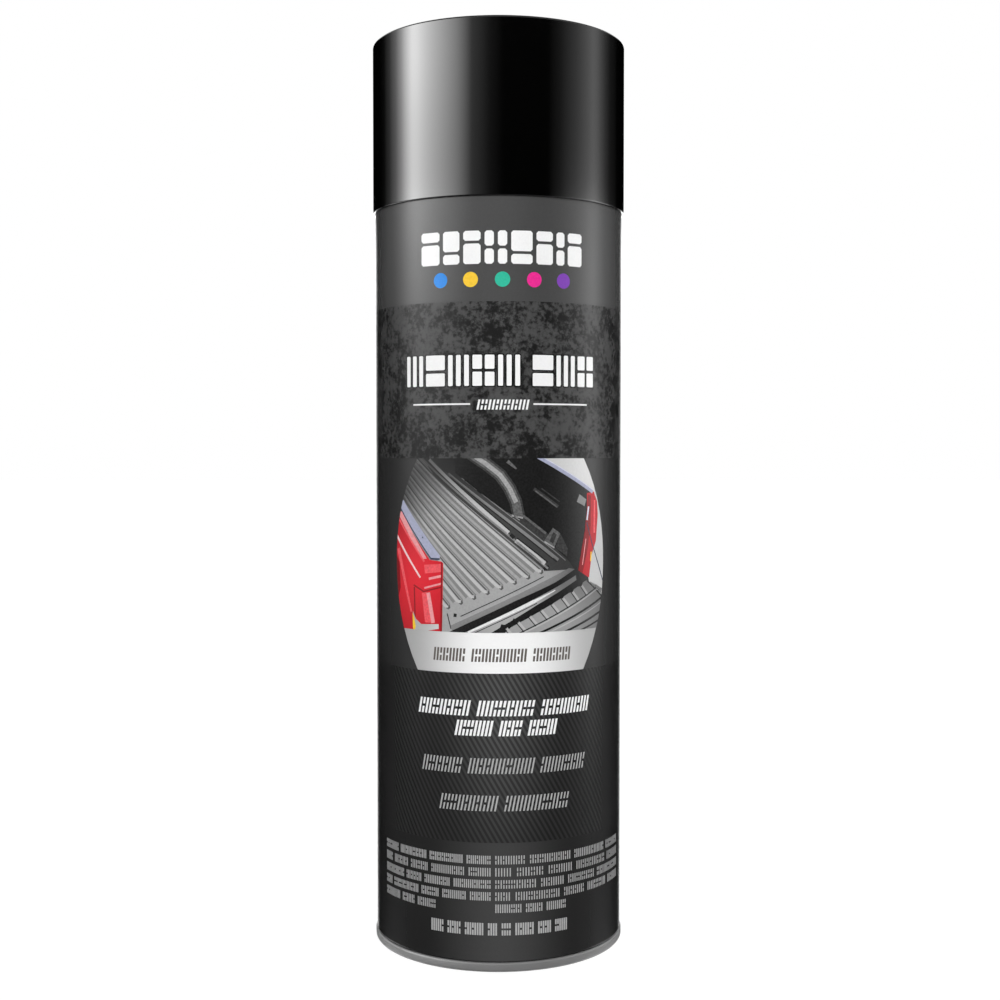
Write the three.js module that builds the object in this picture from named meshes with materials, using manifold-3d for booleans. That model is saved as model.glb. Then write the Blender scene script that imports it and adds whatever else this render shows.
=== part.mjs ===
// A spray can of truck bed coating: a welded tinplate body with a domed base and a cone top
// seamed on, a one-inch spray valve with its dip tube, two mixing balls and a push-on overcap.
// Millimetres, +Z up. The origin is the centre of the circle that the bottom seam stands on,
// and the spray nozzle faces -Y.
import * as THREE from "three";
import { mergeVertices } from "three/addons/utils/BufferGeometryUtils.js";
import Module from "manifold-3d";

const wasm = await Module();
wasm.setup();

// ---------------------------------------------------------------- driving dimensions

const BODY_RADIUS = 32.95; // outside of the printed body
const CAN_HEIGHT = 198.4; // from the bottom seam's foot to the top seam's crest
const CAP_BOTTOM = 194;
const CAP_TOP = 238;

const ROUND_STEPS = 40; // facets round the can-size pieces
const SMALL_STEPS = 20; // facets round the valve-size pieces

// tinplate
const BODY_SHEET = 0.2;
const END_SHEET = 0.3;

// double seams: five layers of sheet, counted outwards from the body's neck
const SEAM_GAP = 0.08;
const SEAM_LAYER = (BODY_SHEET + END_SHEET) / 2 + SEAM_GAP;
const SEAM_LENGTH = 2.5;
const BEND_STEPS = 3;
const BEND_FLAT = Math.cos(Math.PI / (2 * BEND_STEPS)); // how far a bend's flat lies out, of its radius
const END_BEND_DEPTH = 2 * SEAM_LAYER * BEND_FLAT + END_SHEET / 2;
const COMPOUND_ROOM = 0.35;
const BODY_BEND_DEPTH = END_BEND_DEPTH + COMPOUND_ROOM;
const BODY_HOOK_DEPTH = 2;
const COVER_HOOK_DEPTH = 1.2;
const HOOK_BEND_DEPTH = SEAM_LENGTH - END_SHEET / 2 - SEAM_LAYER * BEND_FLAT;
const SHOULDER_DEPTH = 0.25; // how far under the cap's edge the body starts to neck in
const SEAM_WIDTH = 3 * SEAM_LAYER + END_SHEET / 2; // from the neck's middle to the seam's outside
const BOTTOM_SEAM_RADIUS = 33.25;
const TOP_SEAM_RADIUS = 32.5;

// domed base
const BASE_DOME_TOP = 9.6;
const BASE_KNEE_RADIUS = 1.2;
const BASE_KNEE_HEIGHT = 3;

// cone top and its one-inch opening
const COUNTERSINK_DEPTH = 3.4;
const COUNTERSINK_RADIUS = 1;
const CONE_RIM = { radius: 15.4, height: 206.2 };
const CONE_FOOT_SLOPE = 58; // degrees from level
const CONE_RIM_SLOPE = 22;
const OPENING_RADIUS = 12.75;
const CURL_RADIUS = 1.25;
const CURL_HEIGHT = 209.9;
const CURL_STEP = 40; // degrees to a facet of the curl and of what lies on it

// valve
const CUP_SHEET = 0.3;
const CUP_GASKET = 0.3;
const CUP_GAP = 0.06;
const CUP_CURL_RADIUS = CURL_RADIUS + (END_SHEET + CUP_SHEET) / 2 + CUP_GASKET + 2 * CUP_GAP;
const PEDESTAL_TOP = 211.4;
const STEM_RADIUS = 1.95;
const STEM_TOP = 218.2;
const STEM_BORE_RADIUS = 0.9;
const STEM_FLANGE_BOTTOM = 207.9;
const HOUSING_FLOOR = 199.7;
const HOUSING_BOTTOM = 198.5;
const TAILPIECE_RADIUS = 1.7;
const SPRING_COIL_RADIUS = 2.5;
const SPRING_WIRE_RADIUS = 0.225;
const SPRING_TURNS = 6;

// dip tube
const TUBE_RADIUS = 2.3;
const TUBE_BORE_RADIUS = 1.95;
const TUBE_SIDES = 10;
const TUBE_FOOT = new THREE.Vector3(0, -25.5, 8);

// actuator
const ACTUATOR_BOTTOM = 213.4;
const ACTUATOR_TOP = 226;
const ACTUATOR_RADIUS = 8;
const NOZZLE_HEIGHT = 221.2;
const NOZZLE_BORE_RADIUS = 2.75;
const NOZZLE_BORE_END = 4.6; // how far from the axis the bore stops
const INSERT_RADIUS = 2.6;
const INSERT_FRONT = 7.75;
const SPRAY_ORIFICE_RADIUS = 0.25;

// overcap
const CAP_RADIUS = 33.55;
const CAP_WALL = 0.7;
const CAP_ROOF = 1.2;
const CAP_EDGE = 0.45;
const GRIP_RING_RADIUS = 16.35; // inside of the ring that grips the mounting cup
const GRIP_RING_WALL = 0.9;
const GRIP_RING_BOTTOM = 208.8;
const CAP_RIBS = 4;
const CAP_RIB_WIDTH = 1;
const CAP_RIB_BOTTOM = 216;

// what the can holds
const BALL_RADIUS = 4.76;
const BALL_ORBIT = 27.4; // from the can's axis to a ball's centre
const BALL_REST = 10.5;
const BALL_SPREAD = 40; // degrees to each side of +Y
const FILL_RADIUS = 32.35;
const FILL_LEVEL = 144.5;
const FILL_CLEARANCE = 0.35;
const BALL_CHANNEL_RADIUS = 5.1;
const TUBE_CHANNEL_RADIUS = 2.8;

// ---------------------------------------------------------------- shaping

// A point of an outline: its radius from the can's axis and its height.
const at = (radius, height) => new THREE.Vector2(radius, height);

const degrees = THREE.MathUtils.degToRad;

// Points on an arc, with angles in degrees counted from straight outwards to straight up.
function arc(centre, radius, from, to, steps) {
  return Array.from({ length: steps + 1 }, (_, i) => {
    const angle = degrees(from + ((to - from) * i) / steps);
    return at(centre.x + radius * Math.cos(angle), centre.y + radius * Math.sin(angle));
  });
}

// The outline of a sheet of even thickness whose middle follows a path.
function sheetOutline(path, thickness) {
  const normals = path.slice(1).map((point, i) => {
    const run = point.clone().sub(path[i]).normalize();
    return at(-run.y, run.x);
  });
  const offsets = path.map((point, i) => {
    const before = normals[Math.max(i - 1, 0)];
    const after = normals[Math.min(i, normals.length - 1)];
    if (point.x === 0) return at(0, (Math.sign(after.y) * thickness) / 2);
    return before
      .clone()
      .add(after)
      .multiplyScalar(thickness / 2 / (1 + before.dot(after)));
  });
  const oneSide = path.map((point, i) => point.clone().add(offsets[i]));
  const otherSide = path.map((point, i) => point.clone().sub(offsets[i]));
  return [...oneSide, ...otherSide.reverse()];
}

// A solid turned about Z. Its outline starts and ends on the axis, or closes on itself.
function turned(outline, steps) {
  const loop = outline[0].x === 0 ? [...outline] : [...outline, outline[0]];
  if (THREE.ShapeUtils.area(loop) < 0) loop.reverse();
  return new THREE.LatheGeometry(loop, steps).rotateX(Math.PI / 2);
}

// A flat-ended ring turned about Z.
function ring(inner, outer, bottom, top, steps) {
  return turned([at(inner, bottom), at(outer, bottom), at(outer, top), at(inner, top)], steps);
}

// A round bar along Z.
function bar(radius, bottom, top, steps) {
  return turned([at(0, bottom), at(radius, bottom), at(radius, top), at(0, top)], steps);
}

function polygon(radius, sides) {
  return Array.from({ length: sides }, (_, i) => {
    const angle = (2 * Math.PI * i) / sides;
    return at(radius * Math.cos(angle), radius * Math.sin(angle));
  });
}

// A round section swept along a curve, hollow if it has a bore.
function swept(curve, radius, sides, steps, bore = 0) {
  const section = new THREE.Shape(polygon(radius, sides));
  if (bore) section.holes.push(new THREE.Path(polygon(bore, sides)));
  return new THREE.ExtrudeGeometry(section, { steps, extrudePath: curve });
}

function toSolid(geometry) {
  const loose = geometry.index ? geometry.toNonIndexed() : geometry;
  const bare = new THREE.BufferGeometry();
  bare.setAttribute("position", loose.getAttribute("position"));
  const merged = mergeVertices(bare, 1e-4);
  return new wasm.Manifold(
    new wasm.Mesh({
      numProp: 3,
      vertProperties: merged.attributes.position.array,
      triVerts: new Uint32Array(merged.index.array),
    }),
  );
}

function toGeometry(solid) {
  const mesh = solid.getMesh();
  const geometry = new THREE.BufferGeometry();
  geometry.setAttribute("position", new THREE.BufferAttribute(mesh.vertProperties, 3));
  geometry.setIndex(new THREE.BufferAttribute(mesh.triVerts, 1));
  geometry.computeVertexNormals();
  return geometry;
}

const cut = (base, ...tools) =>
  toGeometry(tools.reduce((solid, tool) => solid.subtract(toSolid(tool)), toSolid(base)));

const joined = (base, ...extras) =>
  toGeometry(extras.reduce((solid, extra) => solid.add(toSolid(extra)), toSolid(base)));

// ---------------------------------------------------------------- double seams

const BOTTOM_SEAM = { neck: BOTTOM_SEAM_RADIUS - SEAM_WIDTH, freeEnd: 0, inward: 1 };
const TOP_SEAM = { neck: TOP_SEAM_RADIUS - SEAM_WIDTH, freeEnd: CAN_HEIGHT, inward: -1 };

// A point in a seam, by its layer and its depth from the seam's free end.
function inSeam(seam, layer, depth) {
  return at(seam.neck + layer * SEAM_LAYER, seam.freeEnd + seam.inward * depth);
}

// A half turn from one layer to another. It bulges to the free end, or away from it.
function seamBend(seam, fromLayer, toLayer, depth, bulge) {
  const middle = (fromLayer + toLayer) / 2;
  const half = (fromLayer - toLayer) / 2;
  const rise = bulge === "free end" ? -1 : 1;
  return Array.from({ length: BEND_STEPS + 1 }, (_, i) => {
    const angle = (Math.PI * i) / BEND_STEPS;
    const lift = rise * Math.abs(half) * SEAM_LAYER * Math.sin(angle);
    return inSeam(seam, middle + half * Math.cos(angle), depth + lift);
  });
}

// The body's flange, from its tip inside the seam back to the neck.
function bodyHook(seam) {
  return [
    inSeam(seam, 2, BODY_HOOK_DEPTH),
    ...seamBend(seam, 2, 0, BODY_BEND_DEPTH, "free end"),
  ];
}

// An end's curl, from its chuck wall over the body's flange to the cover hook's tip.
function endHook(seam) {
  return [
    ...seamBend(seam, -1, 3, END_BEND_DEPTH, "free end"),
    ...seamBend(seam, 3, 1, HOOK_BEND_DEPTH, "can"),
    inSeam(seam, 1, COVER_HOOK_DEPTH),
  ];
}

// The sealing compound in the bend between the body's flange and the end's curl.
function seamCompound(seam) {
  const halfWidth = 0.45; // layers
  const nearDepth = END_SHEET + 0.07;
  const farDepth = nearDepth + 0.25;
  const outline = [
    inSeam(seam, 1 - halfWidth, nearDepth),
    inSeam(seam, 1 + halfWidth, nearDepth),
    inSeam(seam, 1 + halfWidth, farDepth),
    inSeam(seam, 1 - halfWidth, farDepth),
  ];
  return turned(outline, ROUND_STEPS);
}

// ---------------------------------------------------------------- can

function canBody() {
  const wall = BODY_RADIUS - BODY_SHEET / 2;
  const path = [
    ...bodyHook(BOTTOM_SEAM),
    inSeam(BOTTOM_SEAM, 0, SEAM_LENGTH + 0.2),
    at(wall, SEAM_LENGTH + 1.2),
    at(wall, CAP_BOTTOM - SHOULDER_DEPTH),
    at(wall - 0.5, CAP_BOTTOM + 0.1),
    inSeam(TOP_SEAM, 0, SEAM_LENGTH + 0.1),
    ...bodyHook(TOP_SEAM).reverse(),
  ];
  return turned(sheetOutline(path, BODY_SHEET), ROUND_STEPS);
}

// The middle of the base's panel, from its centre down to where its knee begins.
function baseDomePath() {
  const kneeEnd = 110;
  const chuckWall = inSeam(BOTTOM_SEAM, -1, 0).x;
  const knee = arc(at(chuckWall - BASE_KNEE_RADIUS, BASE_KNEE_HEIGHT), BASE_KNEE_RADIUS, kneeEnd, 0, 3);
  const rise = BASE_DOME_TOP - knee[0].y;
  const sphere = (knee[0].x ** 2 + rise ** 2) / (2 * rise);
  const edge = THREE.MathUtils.radToDeg(Math.acos(knee[0].x / sphere));
  const steps = 5;
  const dome = arc(at(0, BASE_DOME_TOP - sphere), sphere, 90, edge, steps);
  return { dome: [at(0, BASE_DOME_TOP), ...dome.slice(1, -1)], knee };
}

function baseEnd() {
  const { dome, knee } = baseDomePath();
  return turned(sheetOutline([...dome, ...knee, ...endHook(BOTTOM_SEAM)], END_SHEET), ROUND_STEPS);
}

// The curl round the opening, on which the mounting cup and its gasket lie.
const CURL_CENTRE = at(OPENING_RADIUS + CURL_RADIUS, CURL_HEIGHT);
const curlArc = (radius, from, to) =>
  arc(CURL_CENTRE, radius, from, to, Math.abs(to - from) / CURL_STEP);

function topDome() {
  const curl = curlArc(CURL_RADIUS, -60, 180);
  const coneRim = at(CONE_RIM.radius, CONE_RIM.height);
  const chuckWall = inSeam(TOP_SEAM, -1, COUNTERSINK_DEPTH);
  const countersinkCentre = at(chuckWall.x - COUNTERSINK_RADIUS, chuckWall.y);
  const countersink = arc(countersinkCentre, COUNTERSINK_RADIUS, -90 - CONE_FOOT_SLOPE, 0, 4);
  // the cone is steep by the countersink and flattens towards the opening
  const foot = countersink[0];
  const steep = Math.tan(degrees(CONE_FOOT_SLOPE));
  const shallow = Math.tan(degrees(CONE_RIM_SLOPE));
  const fall = coneRim.y - foot.y;
  const bendRun = (steep * (foot.x - coneRim.x) - fall) / (steep - shallow);
  const bend = at(coneRim.x + bendRun, coneRim.y - shallow * bendRun);
  const cone = new THREE.QuadraticBezierCurve(coneRim, bend, foot).getPoints(4);
  const path = [
    ...curl,
    at(OPENING_RADIUS, CURL_HEIGHT - 2),
    at(OPENING_RADIUS + 0.85, CONE_RIM.height + 0.7),
    ...cone.slice(0, -1),
    ...countersink,
    ...endHook(TOP_SEAM),
  ];
  return turned(sheetOutline(path, END_SHEET), ROUND_STEPS);
}

// ---------------------------------------------------------------- valve

function mountingCup() {
  const rim = curlArc(CUP_CURL_RADIUS, -20, 180);
  const floor = 204.6;
  const path = [
    ...rim,
    at(rim.at(-1).x, 208.2),
    at(12.9, 206.6), // the clinch that locks the cup under the opening
    at(12.9, 206),
    at(12.1, floor + 0.6),
    at(11.2, floor),
    at(6.8, floor),
    at(5.8, floor + 0.4),
    at(4.62, floor + 1.4), // the crimp that holds the valve housing
    at(5.2, floor + 2.8),
    at(5.2, PEDESTAL_TOP - 0.8),
    at(4.5, PEDESTAL_TOP),
    at(STEM_RADIUS + 0.4, PEDESTAL_TOP),
  ];
  return turned(sheetOutline(path, CUP_SHEET), ROUND_STEPS);
}

function cupGasket() {
  const inside = CURL_RADIUS + END_SHEET / 2 + CUP_GAP;
  const outline = [...curlArc(inside, 20, 140), ...curlArc(inside + CUP_GASKET, 140, 20)];
  return turned(outline, ROUND_STEPS);
}

function stemGasket() {
  const top = PEDESTAL_TOP - CUP_SHEET / 2 - 0.15;
  return ring(STEM_RADIUS + 0.05, 4.6, top - 0.9, top, SMALL_STEPS);
}

function valveHousing() {
  const rimTop = 210.05;
  const chamber = 3.3;
  const tailEnd = 193.5;
  const tailBore = 0.8;
  const outline = [
    at(tailBore, tailEnd),
    at(TAILPIECE_RADIUS - 0.3, tailEnd),
    at(TAILPIECE_RADIUS, tailEnd + 1),
    at(TAILPIECE_RADIUS, HOUSING_BOTTOM),
    at(4.2, HOUSING_BOTTOM),
    at(4.2, 206.4),
    at(4.7, 206.9),
    at(4.7, rimTop),
    at(chamber, rimTop),
    at(chamber, HOUSING_FLOOR),
    at(tailBore, HOUSING_FLOOR),
  ];
  return turned(outline, SMALL_STEPS);
}

function valveSpring() {
  const bottom = HOUSING_FLOOR + SPRING_WIRE_RADIUS + 0.05;
  const top = STEM_FLANGE_BOTTOM - SPRING_WIRE_RADIUS - 0.1;
  class Helix extends THREE.Curve {
    getPoint(t, target = new THREE.Vector3()) {
      const angle = 2 * Math.PI * SPRING_TURNS * t;
      return target.set(
        SPRING_COIL_RADIUS * Math.cos(angle),
        SPRING_COIL_RADIUS * Math.sin(angle),
        bottom + (top - bottom) * t,
      );
    }
  }
  return swept(new Helix(), SPRING_WIRE_RADIUS, 5, 10 * SPRING_TURNS);
}

function valveStem() {
  const flangeTop = 209.9;
  const noseBottom = 204.4;
  const boreBottom = 210.2;
  const outline = [
    at(0, noseBottom),
    at(1.1, noseBottom),
    at(1.4, noseBottom + 0.4),
    at(1.4, STEM_FLANGE_BOTTOM),
    at(2.9, STEM_FLANGE_BOTTOM),
    at(2.9, flangeTop),
    at(STEM_RADIUS, flangeTop),
    at(STEM_RADIUS, STEM_TOP - 0.3),
    at(STEM_RADIUS - 0.3, STEM_TOP),
    at(STEM_BORE_RADIUS, STEM_TOP),
    at(STEM_BORE_RADIUS, boreBottom),
    at(0, boreBottom),
  ];
  const sideHole = bar(0.3, -STEM_RADIUS - 1, STEM_RADIUS + 1, 8)
    .rotateY(Math.PI / 2)
    .translate(0, 0, boreBottom + 0.5);
  return cut(turned(outline, SMALL_STEPS), sideHole);
}

// The dip tube hangs from the tailpiece and leans to the front edge of the base.
const TUBE_COURSE = new THREE.CatmullRomCurve3([
  new THREE.Vector3(0, 0, HOUSING_BOTTOM - 0.3),
  new THREE.Vector3(0, 0, 185),
  new THREE.Vector3(0, -1.5, 140),
  new THREE.Vector3(0, -8, 85),
  new THREE.Vector3(0, -18, 35),
  TUBE_FOOT,
]);
const TUBE_STEPS = 20;

function dipTube() {
  return swept(TUBE_COURSE, TUBE_RADIUS, TUBE_SIDES, TUBE_STEPS, TUBE_BORE_RADIUS);
}

// ---------------------------------------------------------------- actuator

// Turns a piece made along +Z to face -Y, at the nozzle's height.
function facingFront(geometry) {
  return geometry.rotateX(Math.PI / 2).translate(0, 0, NOZZLE_HEIGHT);
}

function actuatorButton() {
  const shoulder = ACTUATOR_BOTTOM + 3.2;
  const outline = [
    at(0, ACTUATOR_BOTTOM),
    at(ACTUATOR_RADIUS, ACTUATOR_BOTTOM),
    at(ACTUATOR_RADIUS, shoulder),
    at(ACTUATOR_RADIUS - 0.4, shoulder + 0.4),
    at(ACTUATOR_RADIUS - 0.7, ACTUATOR_TOP - 1),
    at(ACTUATOR_RADIUS - 1.5, ACTUATOR_TOP),
    at(0, ACTUATOR_TOP),
  ];
  const skirtHollow = ring(3.9, 6.9, ACTUATOR_BOTTOM - 1, ACTUATOR_BOTTOM + 4.6, SMALL_STEPS);
  const stemSocket = bar(STEM_RADIUS + 0.1, ACTUATOR_BOTTOM - 1, STEM_TOP + 0.2, SMALL_STEPS);
  const riser = bar(STEM_BORE_RADIUS, STEM_TOP - 0.5, NOZZLE_HEIGHT + 0.5, 12);
  const feed = facingFront(bar(0.6, -0.1, NOZZLE_BORE_END + 0.5, 12));
  const nozzleBore = facingFront(
    bar(NOZZLE_BORE_RADIUS, NOZZLE_BORE_END, ACTUATOR_RADIUS + 1, SMALL_STEPS),
  );
  const fingerBall = 15;
  const fingerDish = new THREE.SphereGeometry(fingerBall, 32, 24)
    .rotateX(Math.PI / 2)
    .translate(0, 2.2, ACTUATOR_TOP + fingerBall - 1.9);
  return cut(turned(outline, SMALL_STEPS), skirtHollow, stemSocket, riser, feed, nozzleBore, fingerDish);
}

function sprayInsert() {
  const back = NOZZLE_BORE_END + 0.3;
  const outline = [
    at(SPRAY_ORIFICE_RADIUS, back),
    at(INSERT_RADIUS, back),
    at(INSERT_RADIUS, INSERT_FRONT - 0.2),
    at(INSERT_RADIUS - 0.2, INSERT_FRONT),
    at(1.5, INSERT_FRONT),
    at(1, INSERT_FRONT - 0.8),
    at(SPRAY_ORIFICE_RADIUS, INSERT_FRONT - 0.8),
  ];
  return facingFront(turned(outline, SMALL_STEPS));
}

// ---------------------------------------------------------------- overcap

function overcap() {
  const inside = CAP_RADIUS - CAP_WALL;
  const roof = CAP_TOP - CAP_ROOF;
  const ringOutside = GRIP_RING_RADIUS + GRIP_RING_WALL;
  const outline = [
    at(0, CAP_TOP),
    ...arc(at(CAP_RADIUS - CAP_EDGE, CAP_TOP - CAP_EDGE), CAP_EDGE, 90, 0, 3),
    at(CAP_RADIUS, CAP_BOTTOM + 0.3),
    at(CAP_RADIUS - 0.3, CAP_BOTTOM),
    at(inside + 0.2, CAP_BOTTOM),
    at(inside, CAP_BOTTOM + 0.3),
    at(inside, roof - 0.6),
    at(inside - 0.6, roof),
    at(ringOutside + 0.2, roof),
    at(ringOutside, GRIP_RING_BOTTOM),
    at(GRIP_RING_RADIUS, GRIP_RING_BOTTOM),
    at(GRIP_RING_RADIUS, roof),
    at(0, roof),
  ];
  const ribStart = GRIP_RING_RADIUS + GRIP_RING_WALL / 2;
  const ribEnd = CAP_RADIUS - CAP_WALL / 2;
  const ribTop = roof + CAP_ROOF / 2;
  const ribs = Array.from({ length: CAP_RIBS }, (_, i) =>
    new THREE.BoxGeometry(ribEnd - ribStart, CAP_RIB_WIDTH, ribTop - CAP_RIB_BOTTOM)
      .translate((ribStart + ribEnd) / 2, 0, (ribTop + CAP_RIB_BOTTOM) / 2)
      .rotateZ((2 * Math.PI * (i + 0.5)) / CAP_RIBS),
  );
  return joined(turned(outline, ROUND_STEPS), ...ribs);
}

// ---------------------------------------------------------------- contents

const BALL_PLACES = [-BALL_SPREAD, BALL_SPREAD].map((turn) => {
  const angle = degrees(90 + turn);
  return at(BALL_ORBIT * Math.cos(angle), BALL_ORBIT * Math.sin(angle));
});

// The liquid, with clear channels where the balls travel and where the dip tube stands.
function coatingFill() {
  const lift = END_SHEET / 2 + FILL_CLEARANCE;
  const { dome, knee } = baseDomePath();
  const outline = [
    ...[...dome, knee[0]].map((point) => at(point.x, point.y + lift)),
    at(FILL_RADIUS, knee[0].y + 2.2),
    at(FILL_RADIUS, FILL_LEVEL),
    at(0, FILL_LEVEL),
  ];
  const ballChannels = BALL_PLACES.map(({ x, y }) =>
    bar(BALL_CHANNEL_RADIUS, 0, CAN_HEIGHT, SMALL_STEPS).translate(x, y, 0),
  );
  const tubeChannel = swept(TUBE_COURSE, TUBE_CHANNEL_RADIUS, TUBE_SIDES, TUBE_STEPS);
  const footRoom = bar(TUBE_CHANNEL_RADIUS, 0, TUBE_FOOT.z + 1, TUBE_SIDES).translate(
    TUBE_FOOT.x,
    TUBE_FOOT.y,
    0,
  );
  return cut(turned(outline, ROUND_STEPS), ...ballChannels, tubeChannel, footRoom);
}

function mixingBall({ x, y }) {
  return new THREE.IcosahedronGeometry(BALL_RADIUS, 3).translate(x, y, BALL_REST);
}

// ---------------------------------------------------------------- assembly

function finish(color, roughness, metalness) {
  return new THREE.MeshStandardMaterial({ color, roughness, metalness });
}

const assembly = new THREE.Group();

function add(name, geometry, material) {
  const mesh = new THREE.Mesh(geometry, material);
  mesh.name = name;
  assembly.add(mesh);
}

add("can_body", canBody(), finish(0x4a4a4c, 0.35, 0.3));
add("base_end", baseEnd(), finish(0xa9a9a8, 0.35, 0.9));
add("base_seam_compound", seamCompound(BOTTOM_SEAM), finish(0x5a6a4c, 0.8, 0));
add("top_dome", topDome(), finish(0xb4b4b2, 0.3, 0.9));
add("top_seam_compound", seamCompound(TOP_SEAM), finish(0x5a6a4c, 0.8, 0));
add("mounting_cup", mountingCup(), finish(0xc0bfba, 0.28, 0.95));
add("cup_gasket", cupGasket(), finish(0x2a2a2a, 0.85, 0));
add("stem_gasket", stemGasket(), finish(0x1e1e1e, 0.85, 0));
add("valve_housing", valveHousing(), finish(0xe6e4dc, 0.5, 0));
add("valve_spring", valveSpring(), finish(0xb8b8b8, 0.25, 1));
add("valve_stem", valveStem(), finish(0xe9e7e0, 0.45, 0));
add("dip_tube", dipTube(), finish(0xdedcd2, 0.4, 0));
add("actuator_button", actuatorButton(), finish(0xe8e7e3, 0.4, 0));
add("spray_insert", sprayInsert(), finish(0x1c1c1d, 0.4, 0));
add("overcap", overcap(), finish(0x0b0b0c, 0.15, 0));
add("mixing_ball_a", mixingBall(BALL_PLACES[0]), finish(0xb0b0b0, 0.2, 1));
add("mixing_ball_b", mixingBall(BALL_PLACES[1]), finish(0xb0b0b0, 0.2, 1));
add("coating_fill", coatingFill(), finish(0x1a1a1b, 0.3, 0));

export default assembly;
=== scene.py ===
"""Looks of a spray can of truck bed coating: printed tinplate can, spray valve, button and overcap.

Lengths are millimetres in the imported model's frame, +Z up, with the front of the print facing -Y.
Meshes and nodes turn them into Blender's metres through MM.
"""
import math
import random

import bmesh
import bpy
from mathutils import Matrix, Vector


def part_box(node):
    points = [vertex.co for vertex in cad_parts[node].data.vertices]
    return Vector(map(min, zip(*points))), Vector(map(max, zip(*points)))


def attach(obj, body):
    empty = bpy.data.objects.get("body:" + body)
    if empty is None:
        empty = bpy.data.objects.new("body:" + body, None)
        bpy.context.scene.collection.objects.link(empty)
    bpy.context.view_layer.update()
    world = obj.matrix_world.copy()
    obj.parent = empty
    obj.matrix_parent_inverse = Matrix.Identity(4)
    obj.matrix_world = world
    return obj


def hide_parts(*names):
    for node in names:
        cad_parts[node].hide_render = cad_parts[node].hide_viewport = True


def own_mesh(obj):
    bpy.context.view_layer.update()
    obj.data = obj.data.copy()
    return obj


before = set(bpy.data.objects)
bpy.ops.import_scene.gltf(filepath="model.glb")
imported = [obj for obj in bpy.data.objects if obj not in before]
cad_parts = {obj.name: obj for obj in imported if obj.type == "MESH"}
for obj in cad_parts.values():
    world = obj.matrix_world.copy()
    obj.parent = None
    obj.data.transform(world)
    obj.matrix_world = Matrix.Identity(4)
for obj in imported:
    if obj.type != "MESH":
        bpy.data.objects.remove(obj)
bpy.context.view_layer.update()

MM = 0.001


# ---- sizes

def lowest(node):
    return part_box(node)[0] / MM


def highest(node):
    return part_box(node)[1] / MM


BODY_RADIUS = highest("can_body").x
BOTTOM_SEAM_RADIUS = highest("base_end").x
TOP_SEAM_RADIUS = highest("base_end").x - 0.75
BASE_TOP = highest("base_end").z
CAN_HEIGHT = highest("can_body").z + 0.686  # the top seam stands this much over the body's flange
CAP_RADIUS = highest("overcap").x
CAP_BOTTOM = lowest("overcap").z
CAP_TOP = highest("overcap").z
BUTTON_RADIUS = highest("actuator_button").x
BUTTON_BOTTOM = lowest("actuator_button").z
BUTTON_TOP = BUTTON_BOTTOM + 12.6
STEM_TOP = highest("valve_stem").z
STEM_RADIUS = 1.95
SPRING_BOTTOM = lowest("valve_spring").z
SPRING_TOP = highest("valve_spring").z

BODY_SHEET = 0.2
END_SHEET = 0.3
SEAM_LENGTH = 2.5
SEAM_LAYER = 0.33  # from the middle of one layer of a double seam to the next
SEAM_WIDTH = 3 * SEAM_LAYER + END_SHEET / 2

ROUND = 192  # facets round a can-size piece
SMALL_ROUND = 64  # facets round a valve-size piece
FACET = 2 * math.pi * BODY_RADIUS / ROUND

# the print's bands, from the foot up
PINSTRIPES_BOTTOM = 32.8
WINDOW_BAND_BOTTOM = 75.4
STONE_BOTTOM = 129.1
STONE_TOP = 168.0
PRINT_TURN = 0.7  # how far the artwork's middle lies to the right of the nozzle, round the can


# ---- nodes

def rgba(colour):
    if isinstance(colour, bpy.types.NodeSocket):
        return colour
    if isinstance(colour, (int, float)):
        return (colour, colour, colour, 1)
    return (*colour, 1)


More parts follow.
